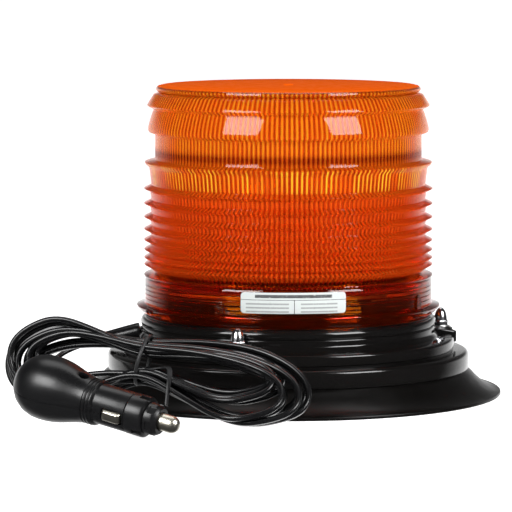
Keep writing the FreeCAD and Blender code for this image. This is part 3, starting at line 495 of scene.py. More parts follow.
class Paint:
    """Every finish, each made once."""

    def __init__(self) -> None:
        """Make them all."""
        self.amber = AmberPolycarbonate().make()
        self.housing = Moulding("gloss_black_moulding").make()
        self.enamel = Moulding("gloss_black_enamel", gloss=0.10, wave=5, wave_depth=0.03).make()
        self.plug = Moulding("plug_moulding", (0.006, 0.006, 0.0065), gloss=0.26, haze=0.12,
                             grain=0.5, grain_depth=0.015).make()
        self.satin = Moulding("satin_black_plastic", (0.02, 0.02, 0.021), gloss=0.4, haze=0.15,
                              grain=0.4, grain_depth=0.02).make()
        self.skirt = Rubber("skirt_rubber").make()
        self.cord = Moulding("cord_sheath", (0.005, 0.005, 0.0055), gloss=0.2, haze=0.1,
                             grain=0.35, grain_depth=0.012).make()
        self.chrome = Metal("bright_chrome", (0.80, 0.80, 0.83), 0.16, 0.08).make()
        self.nickel = Metal("nickel_plate", (0.86, 0.82, 0.70), 0.3, 0.1).make()
        self.steel = Metal("zinc_steel", (0.58, 0.58, 0.57), 0.26, 0.16, brushed=(1, 1, 6)).make()
        self.ferrite = Metal("ferrite", (0.07, 0.07, 0.075), 0.6, 0.2).make()
        self.copper = Metal("enamelled_copper", (0.72, 0.28, 0.09), 0.2, 0.15,
                            brushed=(1, 12, 1)).make()
        self.aluminium = Metal("bare_aluminium", (0.75, 0.75, 0.77), 0.3, 0.15,
                               brushed=(8, 1, 1)).make()
        self.sleeve = Moulding("capacitor_sleeve", (0.012, 0.02, 0.07), 0.25).make()
        self.post = Moulding("moulded_post", (0.62, 0.60, 0.56), 0.35, 0.15).make()
        self.glass = PlainGlass().make()
        self.board = Laminate().make()
        self.vinyl = WhiteVinyl().make()
        self.floor = PaleFloor().make()


# --------------------------------------------------------------------------------------------
# Modelling helpers


class Bench:
    """Blender's modelling operators, used as by hand."""

    @staticmethod
    def clear() -> None:
        """Leave edit mode and deselect everything."""
        if bpy.context.mode != "OBJECT":
            bpy.ops.object.mode_set(mode="OBJECT")
        bpy.ops.object.select_all(action="DESELECT")

    @staticmethod
    def pick(*objects: bpy.types.Object) -> None:
        """Select these objects and make the first the active one."""
        Bench.clear()
        for item in objects:
            item.select_set(True)
        bpy.context.view_layer.objects.active = objects[0]

    @staticmethod
    def draw(name: str, points: Sequence[Vector]) -> bpy.types.Object:
        """Start a piece in edit mode with a chain of edges, by extruding one vertex.

        Args:
            name: The piece's name.
            points: The chain's points in metres.

        Returns:
            The new object, still in edit mode.
        """
        Bench.clear()
        bpy.ops.mesh.primitive_plane_add(size=1 * MM, location=(0, 0, 0))
        piece = bpy.context.active_object
        piece.name = piece.data.name = name
        bpy.ops.object.mode_set(mode="EDIT")
        bpy.ops.mesh.merge(type="CENTER")
        bpy.ops.transform.translate(value=points[0])
        for last, point in zip(points, points[1:]):
            bpy.ops.mesh.extrude_region_move(TRANSFORM_OT_translate={"value": point - last})
        bpy.ops.mesh.select_all(action="SELECT")
        return piece

    @staticmethod
    def lathe(name: str, profile: Profile, steps: int = 128, smooth: float = 35.0
              ) -> bpy.types.Object:
        """Spin an outline about Z into a solid.

        Args:
            name: The piece's name.
            profile: The outline's (radius, height) points in millimetres.
            steps: How many steps go round.
            smooth: The widest edge angle that is still shaded smooth, in degrees.

        Returns:
            The new object.
        """
        points = [Vector((r * MM, 0.0, z * MM)) for r, z in [*profile, profile[0]]]
        piece = Bench.draw(name, points)
        bpy.ops.mesh.spin(steps=steps, angle=2 * math.pi, center=(0, 0, 0), axis=(0, 0, 1))
        bpy.ops.mesh.select_all(action="SELECT")
        bpy.ops.mesh.remove_doubles(threshold=0.002 * MM)
        bpy.ops.mesh.normals_make_consistent(inside=False)
        bpy.ops.object.mode_set(mode="OBJECT")
        return Bench.soften(piece, smooth)

    @staticmethod
    def soften(piece: bpy.types.Object, angle: float) -> bpy.types.Object:
        """Shade smooth all edges below an angle in degrees."""
        Bench.pick(piece)
        bpy.ops.object.shade_smooth_by_angle(angle=math.radians(angle))
        return piece

    @staticmethod
    def block(name: str, low: Sequence[float], high: Sequence[float], edge: float = 0.0
              ) -> bpy.types.Object:
        """A box with rounded edges.

        Args:
            name: The piece's name.
            low: Its lowest corner in millimetres.
            high: Its highest corner in millimetres.
            edge: The radius of its edges in millimetres.

        Returns:
            The new object.
        """
        Bench.clear()
        centre = [(a + b) / 2 * MM for a, b in zip(low, high)]
        span = [(b - a) * MM for a, b in zip(low, high)]
        bpy.ops.mesh.primitive_cube_add(size=1, location=centre)
        piece = bpy.context.active_object
        piece.name = piece.data.name = name
        bpy.ops.object.mode_set(mode="EDIT")
        bpy.ops.transform.resize(value=span, center_override=centre)
        if edge > 0:
            bpy.ops.mesh.select_all(action="SELECT")
            bpy.ops.mesh.bevel(offset=edge * MM, segments=2, affect="EDGES")
        bpy.ops.object.mode_set(mode="OBJECT")
        return Bench.settle(piece)

    @staticmethod
    def prism(name: str, outline: Profile, low: float, high: float, edge: float = 0.0
              ) -> bpy.types.Object:
        """An upright prism on an outline of (x, y) points, with bevelled edges.

        Args:
            name: The piece's name.
            outline: Its corners in millimetres, anticlockwise from above.
            low: Its underside's height in millimetres.
            high: Its top's height in millimetres.
            edge: The width of its bevelled edges in millimetres.

        Returns:
            The new object.
        """
        piece = Bench.draw(name, [Vector((x, y, low)) * MM for x, y in outline])
        bpy.ops.mesh.edge_face_add()
        bpy.ops.mesh.select_all(action="SELECT")
        bpy.ops.mesh.extrude_region_move(
            TRANSFORM_OT_translate={"value": (0, 0, (high - low) * MM)})
        bpy.ops.mesh.select_all(action="SELECT")
        bpy.ops.mesh.normals_make_consistent(inside=False)
        if edge > 0:
            bpy.ops.mesh.bevel(offset=edge * MM, segments=2, affect="EDGES")
        bpy.ops.object.mode_set(mode="OBJECT")
        return Bench.settle(piece)

    @staticmethod
    def settle(piece: bpy.types.Object) -> bpy.types.Object:
        """Put the piece's place, turn and size into its mesh."""
        Bench.pick(piece)
        bpy.ops.object.transform_apply(location=True, rotation=True, scale=True)
        return piece

    @staticmethod
    def copy(piece: bpy.types.Object, name: str, matrix: Matrix) -> bpy.types.Object:
        """A copy with its own mesh, moved by a matrix.

        Args:
            piece: What to copy.
            name: The copy's name.
            matrix: Where it goes.

        Returns:
            The copy.
        """
        twin = piece.copy()
        twin.data = piece.data.copy()
        twin.name = twin.data.name = name
        twin.data.transform(matrix)
        bpy.context.collection.objects.link(twin)
        return twin

    @staticmethod
    def join(name: str, pieces: Sequence[bpy.types.Object]) -> bpy.types.Object:
        """Join pieces into one object of that name."""
        Bench.pick(*pieces)
        bpy.ops.object.join()
        pieces[0].name = pieces[0].data.name = name
        return pieces[0]

    @staticmethod
    def carve(piece: bpy.types.Object, tools: Sequence[bpy.types.Object]) -> None:
        """Cut each tool out of a solid, and remove the tools.

        Args:
            piece: The solid.
            tools: What is cut out of it.
        """
        for tool in tools:
            Bench.pick(piece)
            change = piece.modifiers.new("Carve", "BOOLEAN")
            change.operation = "DIFFERENCE"
            change.solver = "EXACT"
            change.object = tool
            bpy.ops.object.modifier_apply(modifier=change.name)
            bpy.data.objects.remove(tool)

    @staticmethod
    def bevel(piece: bpy.types.Object, width: float, angle: float, segments: int) -> None:
        """Round the sharp edges with an applied Bevel modifier.

        Args:
            piece: The solid.
            width: The bevel's width in millimetres.
            angle: The smallest edge angle that is rounded, in degrees.
            segments: How many steps an edge has.
        """
        Bench.pick(piece)
        change = piece.modifiers.new("Round", "BEVEL")
        change.width = width * MM
        change.segments = segments
        change.limit_method = "ANGLE"
        change.angle_limit = math.radians(angle)
        bpy.ops.object.modifier_apply(modifier=change.name)

    @staticmethod
    def about_z(degrees: float) -> Matrix:
        """A turn about Z."""
        return Matrix.Rotation(math.radians(degrees), 4, "Z")


def finish_piece(piece: bpy.types.Object, paint: bpy.types.Material, body: Body, slot: str,
                 *nodes: str) -> bpy.types.Object:
    """Dress a finished piece and tie it to the frame.

    Args:
        piece: The piece, with its place in its mesh.
        paint: Its material.
        body: The body that it rides on.
        slot: A material slot's name; it is not used.
        nodes: The CAD nodes that it stands for.

    Returns:
        The piece.
    """
    piece.data.materials.clear()
    piece.data.materials.append(paint)
    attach(piece, body.value)
    if nodes:
        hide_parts(*nodes)
    log.info("%s: %d vertices", piece.name, len(piece.data.vertices))
    return piece


def dress_node(node: str, paint: bpy.types.Material) -> None:
    """Give a CAD node a material in each of its slots."""
    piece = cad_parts[node]
    for slot in piece.material_slots:
        slot.material = paint
    if not piece.material_slots:
        piece.data.materials.append(paint)


def rounded(points: Profile, radius: float, steps: int = 3) -> Profile:
    """Round every corner of an outline that has room for it.

    Args:
        points: The outline's corners in millimetres.
        radius: How far from a corner its arc starts.
        steps: How many segments an arc has.

    Returns:
        The rounded outline.
    """
    smooth: Profile = []
    count = len(points)
    for i, point in enumerate(points):
        here = Vector(point)
        before = Vector(points[i - 1]) - here
        after = Vector(points[(i + 1) % count]) - here
        reach = min(radius, before.length * 0.4, after.length * 0.4)
        start = here + before.normalized() * reach
        end = here + after.normalized() * reach
        for k in range(steps + 1):
            t = k / steps
            spot = start * (1 - t) ** 2 + here * 2 * t * (1 - t) + end * t ** 2
            smooth.append((spot.x, spot.y))
    return smooth


# --------------------------------------------------------------------------------------------
# Camera, light and floor


@dataclass
class Studio:
    """The camera, the lights and the pale floor."""

    aim: tuple[float, float, float] = (-17.4, 0.0, 73.8)
    pitch: float = 5.56
    distance: float = 1971.0
    lens: float = 256.6
    front_level: float = 0.04
    back_level: float = 1.7
    upper_share: float = 0.08
    softbox_away: float = 1.25
    overhead_at: tuple[float, float, float] = (0.0, 0.5, 1.9)
    overhead_size: tuple[float, float, float] = (1400.0, 900.0, 7.0)
    softboxes: tuple[tuple[float, float, float, float, float], ...] = (
        (-40.0, 27.0, 640.0, 560.0, 12.0), (48.0, 27.0, 560.0, 560.0, 11.0))

    def camera(self) -> None:
        """Set the camera up."""
        data = bpy.data.cameras.new("camera")
        data.lens = self.lens
        data.sensor_width = 36.0
        data.clip_start = 0.05
        data.clip_end = 60.0
        eye = bpy.data.objects.new("camera", data)
        bpy.context.collection.objects.link(eye)
        tilt = math.radians(self.pitch)
        back = Vector((0.0, -math.cos(tilt), math.sin(tilt)))
        eye.location = Vector(self.aim) * MM + back * (self.distance * MM)
        eye.rotation_euler = (math.pi / 2 - tilt, 0.0, 0.0)
        bpy.context.scene.camera = eye

    def lamp(self, name: str, place: Vector, target: Vector, wide: float, tall: float,
             power: float) -> None:
        """Add one softbox.

        Args:
            name: The lamp's name.
            place: Where it stands, in metres.
            target: What it faces, in metres.
            wide: Its width in millimetres.
            tall: Its height in millimetres.
            power: Its power in watts.
        """
        data = bpy.data.lights.new(name, "AREA")
        data.shape = "RECTANGLE"
        data.size = wide * MM
        data.size_y = tall * MM
        data.energy = power
        light = bpy.data.objects.new(name, data)
        light.location = place
        light.rotation_euler = (target - place).to_track_quat("-Z", "Y").to_euler()
        bpy.context.collection.objects.link(light)

    def lights(self) -> None:
        """Two softboxes in front, one broad light above, and the pale room."""
        middle = Vector((0, 0, 80 * MM))
        for i, (turn, rise, wide, tall, power) in enumerate(self.softboxes):
            a, e = math.radians(turn), math.radians(rise)
            way = Vector((math.sin(a) * math.cos(e), -math.cos(a) * math.cos(e), math.sin(e)))
            self.lamp(f"softbox_{i}", middle + way * self.softbox_away, middle, wide, tall, power)
        self.lamp("overhead", Vector(self.overhead_at), middle, *self.overhead_size)
        world = bpy.data.worlds.new("room")
        bpy.context.scene.world = world
        world.use_nodes = True
        tree = world.node_tree
        tree.nodes.clear()
        source = tree.nodes.new("ShaderNodeTexCoord")
        split = tree.nodes.new("ShaderNodeSeparateXYZ")
        tree.links.new(source.outputs["Generated"], split.inputs[0])
        depth = Wire(tree, split.outputs[1])
        height = Wire(tree, split.outputs[2])

        def ramp(value: Wire, low: float, high: float, start: float, end: float) -> Wire:
            """A smooth change from one level to another."""
            node = tree.nodes.new("ShaderNodeMapRange")
            node.interpolation_type = "SMOOTHSTEP"
            tree.links.new(value.socket, node.inputs[0])
            for index, number in enumerate((low, high, start, end), start=1):
                node.inputs[index].default_value = number
            return Wire(tree, node.outputs[0])

        behind = ramp(depth, 0.35, 0.97, self.front_level, self.back_level)
        above = ramp(height, 0.0, 0.22, 1.0, self.upper_share)
        path = tree.nodes.new("ShaderNodeLightPath")
        seen = Wire(tree, path.outputs["Is Camera Ray"])
        level = seen * 1.1 + (1 - seen) * behind * above
        sky = tree.nodes.new("ShaderNodeBackground")
        out = tree.nodes.new("ShaderNodeOutputWorld")
        tree.links.new(level.socket, sky.inputs["Strength"])
        tree.links.new(sky.outputs[0], out.inputs[0])

    def floor(self, paint: Paint) -> None:
        """The floor, wide enough to fill every view."""
        Bench.clear()
        bpy.ops.mesh.primitive_plane_add(size=40, location=(0, 0, 0))
        ground = bpy.context.active_object
        ground.name = "studio_floor"
        ground.data.materials.append(paint.floor)
        ground.visible_glossy = False
        ground.visible_transmission = False

    def build(self, paint: Paint) -> None:
        """Set the whole studio up."""
        self.camera()
        self.lights()
        self.floor(paint)
        view = bpy.context.scene.view_settings
        view.view_transform = "Standard"
        view.look = "None"


# --------------------------------------------------------------------------------------------
# The cord and its hank


@dataclass
class FlatCord:
    """The flat two-core cord: its lead, its tied hank, its tail, its boot and its tie."""

    width: float = 5.4
    thick: float = 2.9
    lead: tuple[tuple[float, float, float], ...] = (
        (-103.2, 0.0, 27.6), (-116.9, 0.0, 24.7), (-130.0, -12.0, 16.0), (-134.0, -29.0, 9.0),
        (-129.0, -47.0, 6.5), (-119.5, -63.0, 7.5), (-112.5, -77.5, 11.0))
    tail: tuple[tuple[float, float, float], ...] = (
        (-123.36, -115.2, 25.2), (-123.0, -123.84, 24.3))
    centre: tuple[float, float, float] = (-68.0, -116.5, 25.6)
    strap: tuple[tuple[float, float, float], ...] = (
        (-9, -8, 0), (-2, -6, 1), (5, -7, 2), (9.5, -11, 2), (10.5, -14, -3), (10.5, -16, -10),
        (10.5, -18, -18))
    yaw: float = -13.0
    lean: float = 12.0
    turns: int = 10
    per_turn: int = 18
    waist_at: float = -7.0
    waist_up: float = 6.0
    tie_reach: float = 12.6
    tie_lean: float = 14.0
    right_sizes: tuple[int, ...] = (8, 3, 6, 1, 9, 4, 0, 7, 2, 5)
    left_sizes: tuple[int, ...] = (4, 9, 1, 6, 3, 8, 0, 5, 7, 2)
    frame_matrix: Matrix = field(init=False)

    def __post_init__(self) -> None:
        """Work out the hank's own axes."""
        self.frame_matrix = (Matrix.Translation(Vector(self.centre) * MM)
                             @ Matrix.Rotation(math.radians(self.yaw), 4, "Z")
                             @ Matrix.Rotation(math.radians(-self.lean), 4, "X"))

    def in_hank(self, along: float, deep: float, up: float) -> Vector:
        """A point given along, through and up the hank in millimetres, in metres."""
        return self.frame_matrix @ (Vector((along, deep, up)) * MM)

    @staticmethod
    def sway(seed: float) -> float:
        """A repeatable number from -1 to 1."""
        return math.sin(seed * 12.9898 + 4.1) * math.cos(seed * 7.233 + 1.3)

    def turn_point(self, turn: int, angle: float) -> Vector:
        """One point of the hank's turns.

        Args:
            turn: Which turn, counted from the back.
            angle: How far round the turn, in radians, with 0 at its right end.

        Returns:
            The point in metres.
        """
        across, rise = math.cos(angle), math.sin(angle)
        side = 0 if across > 0 else 1
        lobe = abs(across)
        swell = min(lobe / 0.68, 1.0)
        swell = swell * swell * (3 - 2 * swell)
        late = turn / (self.turns - 1)
        size = (self.right_sizes, self.left_sizes)[side][turn % 10] / 9
        lifted = ((turn * 3) % 5 - 2) * 3.4 * (1 - size)
        if side == 0:
            reach = 67.5 + 23.0 * size + self.sway(turn + 0.3) * 2.0
            half = 10.8 + 10.2 * size
            middle = -9.0 - 6.5 * late + lifted - 6.0 * size * lobe ** 4
        else:
            reach = 58.0 + 16.0 * size + self.sway(turn + 2.1) * 2.0
            half = 12.0 + 12.0 * size
            middle = -3.5 + 2.5 * late + lifted
        waist = 1.8 + 7.4 * self.right_sizes[turn % 10] / 9
        tall = waist + (half / 0.82 - waist) * swell
        along = self.waist_at + reach * across
        up = self.waist_up + middle * swell + math.copysign(abs(rise) ** 0.85, rise) * tall
        deep = 6.8 - 13.6 * late + self.sway(turn * 2 + side + 9.4) * 1.2 * swell
        if side == 0:
            deep += (up - self.waist_up - 4.0) * 0.75 * swell * (0.5 + 0.5 * late)
        return self.in_hank(along, deep, up)

    def route(self) -> list[Vector]:
        """The control points of the whole cord, from the boot to the plug."""
        points = [Vector(p) * MM for p in self.lead]
        step = 360 // self.per_turn
        first, last = -130, self.turns * 360 - 130
        for degrees in range(first, last + 1, step):
            turn = min(max((degrees + 90) // 360, 0), self.turns - 1)
            points.append(self.turn_point(turn, math.radians(degrees)))
        points += [Vector(p) * MM for p in self.tail]
        return points

    @staticmethod
    def centreline(route: list[Vector]) -> list[Vector]:
        """Points along a route's NURBS spline.

        Args:
            route: The spline's control points in metres.

        Returns:
            The points in metres.
        """
        data = bpy.data.curves.new("cord_route", "CURVE")
        data.dimensions = "3D"
        spline = data.splines.new("NURBS")
        spline.points.add(len(route) - 1)
        for point, at in zip(spline.points, route):
            point.co = (*at, 1.0)
        spline.order_u = 3
        spline.use_endpoint_u = True
        spline.resolution_u = 8
        line = bpy.data.objects.new("cord_route", data)
        bpy.context.collection.objects.link(line)
        bpy.context.view_layer.update()
        mesh = bpy.data.meshes.new_from_object(line)
        points = [v.co.copy() for v in mesh.vertices]
        bpy.data.objects.remove(line)
        bpy.data.meshes.remove(mesh)
        return points

    def section(self) -> Profile:
        """The cord's cross-section: two round cores joined by a web, in millimetres."""
        core = self.thick / 2
        apart = self.width / 2 - core
        outline: Profile = []
        for side in (1, -1):
            for k in range(7):
                a = math.radians(-108 + 36 * k)
                outline.append((side * (apart + core * math.cos(a)), side * core * math.sin(a)))
        return outline

    def tube(self, name: str, path: list[Vector], section: Profile) -> bpy.types.Object:
        """A skin along a centreline.

        Args:
            name: The piece's name.
            path: The centreline's points in metres.
            section: The cross-section's points in millimetres.

        Returns:
            The mesh object.
        """
        across = self.frame_matrix.to_3x3() @ Vector((0, 1, 0))
        side = Vector((0, 1, 0))
        vertices: list[Vector] = []
        last_way = None
        for i, point in enumerate(path):
            way = (path[min(i + 1, len(path) - 1)] - path[max(i - 1, 0)]).normalized()
            if last_way is not None:
                side = last_way.rotation_difference(way) @ side
            last_way = way
            wish = across - way * across.dot(way)
            hold = wish.length ** 2
            if wish.dot(side) < 0:
                wish = -wish
            side = side + wish * (0.12 * hold)
            side = (side - way * side.dot(way)).normalized()
            up = way.cross(side)
            vertices += [point + (side * x + up * y) * MM for x, y in section]
        count = len(section)
        faces = []
        for i in range(len(path) - 1):
            for k in range(count):
                n = (k + 1) % count
                faces.append((i * count + k, i * count + n, (i + 1) * count + n,
                              (i + 1) * count + k))
        faces.append(tuple(reversed(range(count))))
        faces.append(tuple(len(vertices) - count + k for k in range(count)))
        mesh = bpy.data.meshes.new(name)
        mesh.from_pydata(vertices, [], faces)
        piece = bpy.data.objects.new(name, mesh)
        bpy.context.collection.objects.link(piece)
        Bench.pick(piece)
        bpy.ops.object.mode_set(mode="EDIT")
        bpy.ops.mesh.select_all(action="SELECT")
        bpy.ops.mesh.normals_make_consistent(inside=False)
        bpy.ops.object.mode_set(mode="OBJECT")
        return Bench.soften(piece, 50)

    def tie(self) -> bpy.types.Object:
        """The thin black tie round the hank's waist, with its free end."""
        Bench.clear()
        bpy.ops.mesh.primitive_torus_add(major_radius=self.tie_reach * MM, minor_radius=1.0 * MM,
                                         major_segments=48, minor_segments=10)
        tie = bpy.context.active_object
        tie.name = tie.data.name = "cord_tie_band"
        squeeze = Matrix.Diagonal((1.0, 0.84, 1.0, 1.0))
        tie.data.transform(
            self.frame_matrix
            @ Matrix.Translation(Vector((self.waist_at, 0, self.waist_up)) * MM)
            @ Matrix.Rotation(math.radians(self.tie_lean), 4, "Y")
            @ squeeze @ Matrix.Rotation(math.pi / 2, 4, "Y"))
        strap = self.tube("tie_end", self.centreline([self.in_hank(*p) for p in self.strap]),
                          [(-1.3, -0.4), (1.3, -0.4), (1.3, 0.4), (-1.3, 0.4)])
        return Bench.soften(Bench.join("cord_tie_band", [tie, strap]), 60)

    def boot(self) -> bpy.types.Object:
        """The smooth tapered boot where the cord leaves the housing."""
        boot = Bench.lathe("cord_boot_cone", [
            (0.0, -4.0), (3.0, -4.0), (3.0, 0.0), (5.1, 0.0), (5.25, 0.8), (5.2, 2.0), (4.9, 8.0),
            (4.5, 14.0), (4.1, 20.0), (3.95, 23.2), (3.6, 24.0), (0.0, 24.0)], 32, smooth=40)
        boot.data.transform(
            Matrix.Translation(Vector((-79.7, 0, 32.6)) * MM)
            @ Matrix.Rotation(math.radians(-102), 4, "Y"))
        return boot

    def build(self, paint: Paint) -> None:
        path = self.centreline(self.route())
        cord = self.tube("cord", path, self.section())
        finish_piece(cord, paint.cord, Body.BASE, "cord_black", "cord_lead", "cord_tail",
                     "cord_hank")
        tie = finish_piece(self.tie(), paint.satin, Body.BASE, "black_matte", "cord_tie")
        boot = finish_piece(self.boot(), paint.cord, Body.BASE, "cord_black", "cord_boot")


# --------------------------------------------------------------------------------------------
# Lens and label


@dataclass
class Lens:
    """The amber lens with rings outside and fine flutes inside, and its blank label."""

    top: float = 166.2
    flutes: int = 180
    samples: int = 4
    flute_depth: float = 0.95
    ring_count: int = 8
    first_ring: float = 111.0
    ring_pitch: float = 8.0
    ring_step: float = 0.72
    label_wide: float = 56.0
    label_tall: float = 11.0
    label_corner: float = 1.8
    label_radius: float = 77.6
    label_height: float = 56.6
    label_turn: float = -88.4

    def outside(self) -> Profile:
        """The outer wall from the top's middle down to the mouth."""
        top = self.top
        outer: Profile = [
            (0.0, top + 0.7), (2.0, top + 0.7), (2.6, top + 0.4), (3.0, top), (30.0, top),
            (68.6, top), (70.2, top - 0.4), (71.1, top - 1.2), (71.3, top - 2.1),
            (70.6, top - 3.1), (69.4, top - 3.6), (72.1, top - 4.5), (72.7, top - 5.0),
            (74.5, top - 7.9), (75.9, top - 10.1), (76.0, top - 10.7), (75.2, top - 11.4),
            (72.5, top - 12.7), (72.7, top - 13.3), (73.2, top - 14.4), (74.2, top - 17.4),
            (75.0, top - 20.3), (75.5, top - 22.4), (75.6, top - 24.0), (75.1, top - 24.9),
            (72.0, top - 26.2), (71.8, top - 26.8), (71.8, top - 33.0), (71.8, top - 39.2),
            (72.0, top - 39.7), (74.0, top - 40.0), (77.1, top - 40.8), (77.4, top - 41.2),
            (77.0, top - 42.2), (75.4, top - 43.6), (75.0, top - 44.4), (74.5, top - 48.0),
            (74.1, top - 51.6)]
        height = self.first_ring
        for ring in range(self.ring_count):
            outer += [(73.9, height + 1.9), (77.5, height + 0.25), (77.8, height - 0.05),
                      (77.5, height - 0.3), (74.5, height - 1.9)]
            height -= self.ring_pitch - self.ring_step * ring
        outer += [(71.4, 65.6), (75.6, 65.3), (77.8, 64.7), (78.0, 64.3), (77.7, 63.6),
                  (76.9, 63.2), (77.2, 62.6)]
        height = 61.6
        for _ in range(5):
            outer += [(77.4, height), (77.4, height - 1.7), (77.15, height - 2.05)]
            height -= 2.4
        outer += [(77.7, 49.3), (81.6, 48.5), (81.9, 48.1), (81.6, 47.4), (77.0, 42.7)]
        return outer

    def inside(self) -> Profile:
        """The inner wall from the mouth up to the top's middle."""
        return [(74.7, 42.7), (74.6, 59.0), (73.6, 60.6), (69.6, 63.0), (69.9, 66.0),
                (70.0, 74.0), (70.0, 92.0), (70.0, 111.0), (69.7, 124.8), (68.9, 126.0),
                (68.2, 127.6), (68.4, 129.6), (69.7, 131.0), (69.7, 139.0), (69.6, 142.0),
                (69.4, 152.0), (69.2, 154.0), (68.2, 160.6), (66.0, 162.9), (63.6, 163.6),
                (30.0, 163.6), (0.0, 163.6)]

    def flute(self, piece: bpy.types.Object) -> None:
        """Press the upright flutes into the inner wall."""
        rows = {(round(r, 2), round(z, 2)) for r, z in self.inside()
                if 64.0 < z < 161.0 and r > 60}
        for vertex in piece.data.vertices:
            x, y, z = vertex.co
            radius = math.hypot(x, y)
            if (round(radius / MM, 2), round(z / MM, 2)) not in rows:
                continue
            share = (math.atan2(y, x) / (2 * math.pi) * self.flutes) % 1.0
            swell = max(0.0, 1 - (2 * share - 1) ** 2) ** 0.7
            scale = 1 - self.flute_depth * MM * swell / radius
            vertex.co = (x * scale, y * scale, z)

    def arch(self, piece_name: str) -> bpy.types.Object:
        """One arched locking boss at the lens's foot, on +X."""
        outline = [(-2.6, 48.0), (2.6, 48.0), (2.6, 53.6), (1.9, 55.6), (0.0, 56.6), (-1.9, 55.6),
                   (-2.6, 53.6)]
        boss = Bench.prism(piece_name, outline, 76.6, 78.4, 0.3)
        turn = Matrix(((0, 0, 1, 0), (1, 0, 0, 0), (0, 1, 0, 0), (0, 0, 0, 1)))
        boss.data.transform(turn)
        return boss

    def label(self) -> bpy.types.Object:
        """The blank label plate, bent round the lower band."""
        Bench.clear()
        bpy.ops.mesh.primitive_grid_add(x_subdivisions=48, y_subdivisions=8, size=1)
        plate = bpy.context.active_object
        plate.name = plate.data.name = "label_blank"
        plate.data.transform(Matrix.Diagonal((self.label_wide, self.label_tall, 1.0, 1.0)))
        inner_x = self.label_wide / 2 - self.label_corner
        inner_y = self.label_tall / 2 - self.label_corner
        for vertex in plate.data.vertices:
            x, y, _ = vertex.co
            deep_x, deep_y = abs(x) - inner_x, abs(y) - inner_y
            if deep_x > 0 and deep_y > 0:
                away = Vector((deep_x, deep_y)).normalized() * max(deep_x, deep_y)
                x = math.copysign(inner_x + away.x, x)
                y = math.copysign(inner_y + away.y, y)
            angle = math.radians(self.label_turn) + x / self.label_radius
            vertex.co = Vector((self.label_radius * math.cos(angle),
                                self.label_radius * math.sin(angle), self.label_height + y)) * MM
        Bench.pick(plate)
        shell = plate.modifiers.new("Thickness", "SOLIDIFY")
        shell.thickness = 0.18 * MM
        shell.offset = -1.0
        bpy.ops.object.modifier_apply(modifier=shell.name)
        bpy.ops.object.mode_set(mode="EDIT")
        bpy.ops.mesh.select_all(action="SELECT")
        bpy.ops.mesh.normals_make_consistent(inside=False)
        bpy.ops.object.mode_set(mode="OBJECT")
        return Bench.soften(plate, 30)

    def build(self, paint: Paint) -> None:
        """Make the lens and its label."""
        lens = Bench.lathe("lens_shell", self.outside() + self.inside(),
                           self.flutes * self.samples)
        self.flute(lens)
        Bench.soften(lens, 46)
        bosses = []
        for k in range(4):
            boss = self.arch(f"arch_{k}")
            boss.data.transform(Bench.about_z(-28 + 90 * k))
            bosses.append(boss)
        arches = Bench.join("lens_bosses", bosses)
        finish_piece(lens, paint.amber, Body.LENS, "amber_lens", "lens")
        finish_piece(arches, paint.amber, Body.LENS, "amber_lens")
        finish_piece(self.label(), paint.vinyl, Body.LENS, "label_white", "label_plate")


# --------------------------------------------------------------------------------------------
# Housing, mount and fasteners


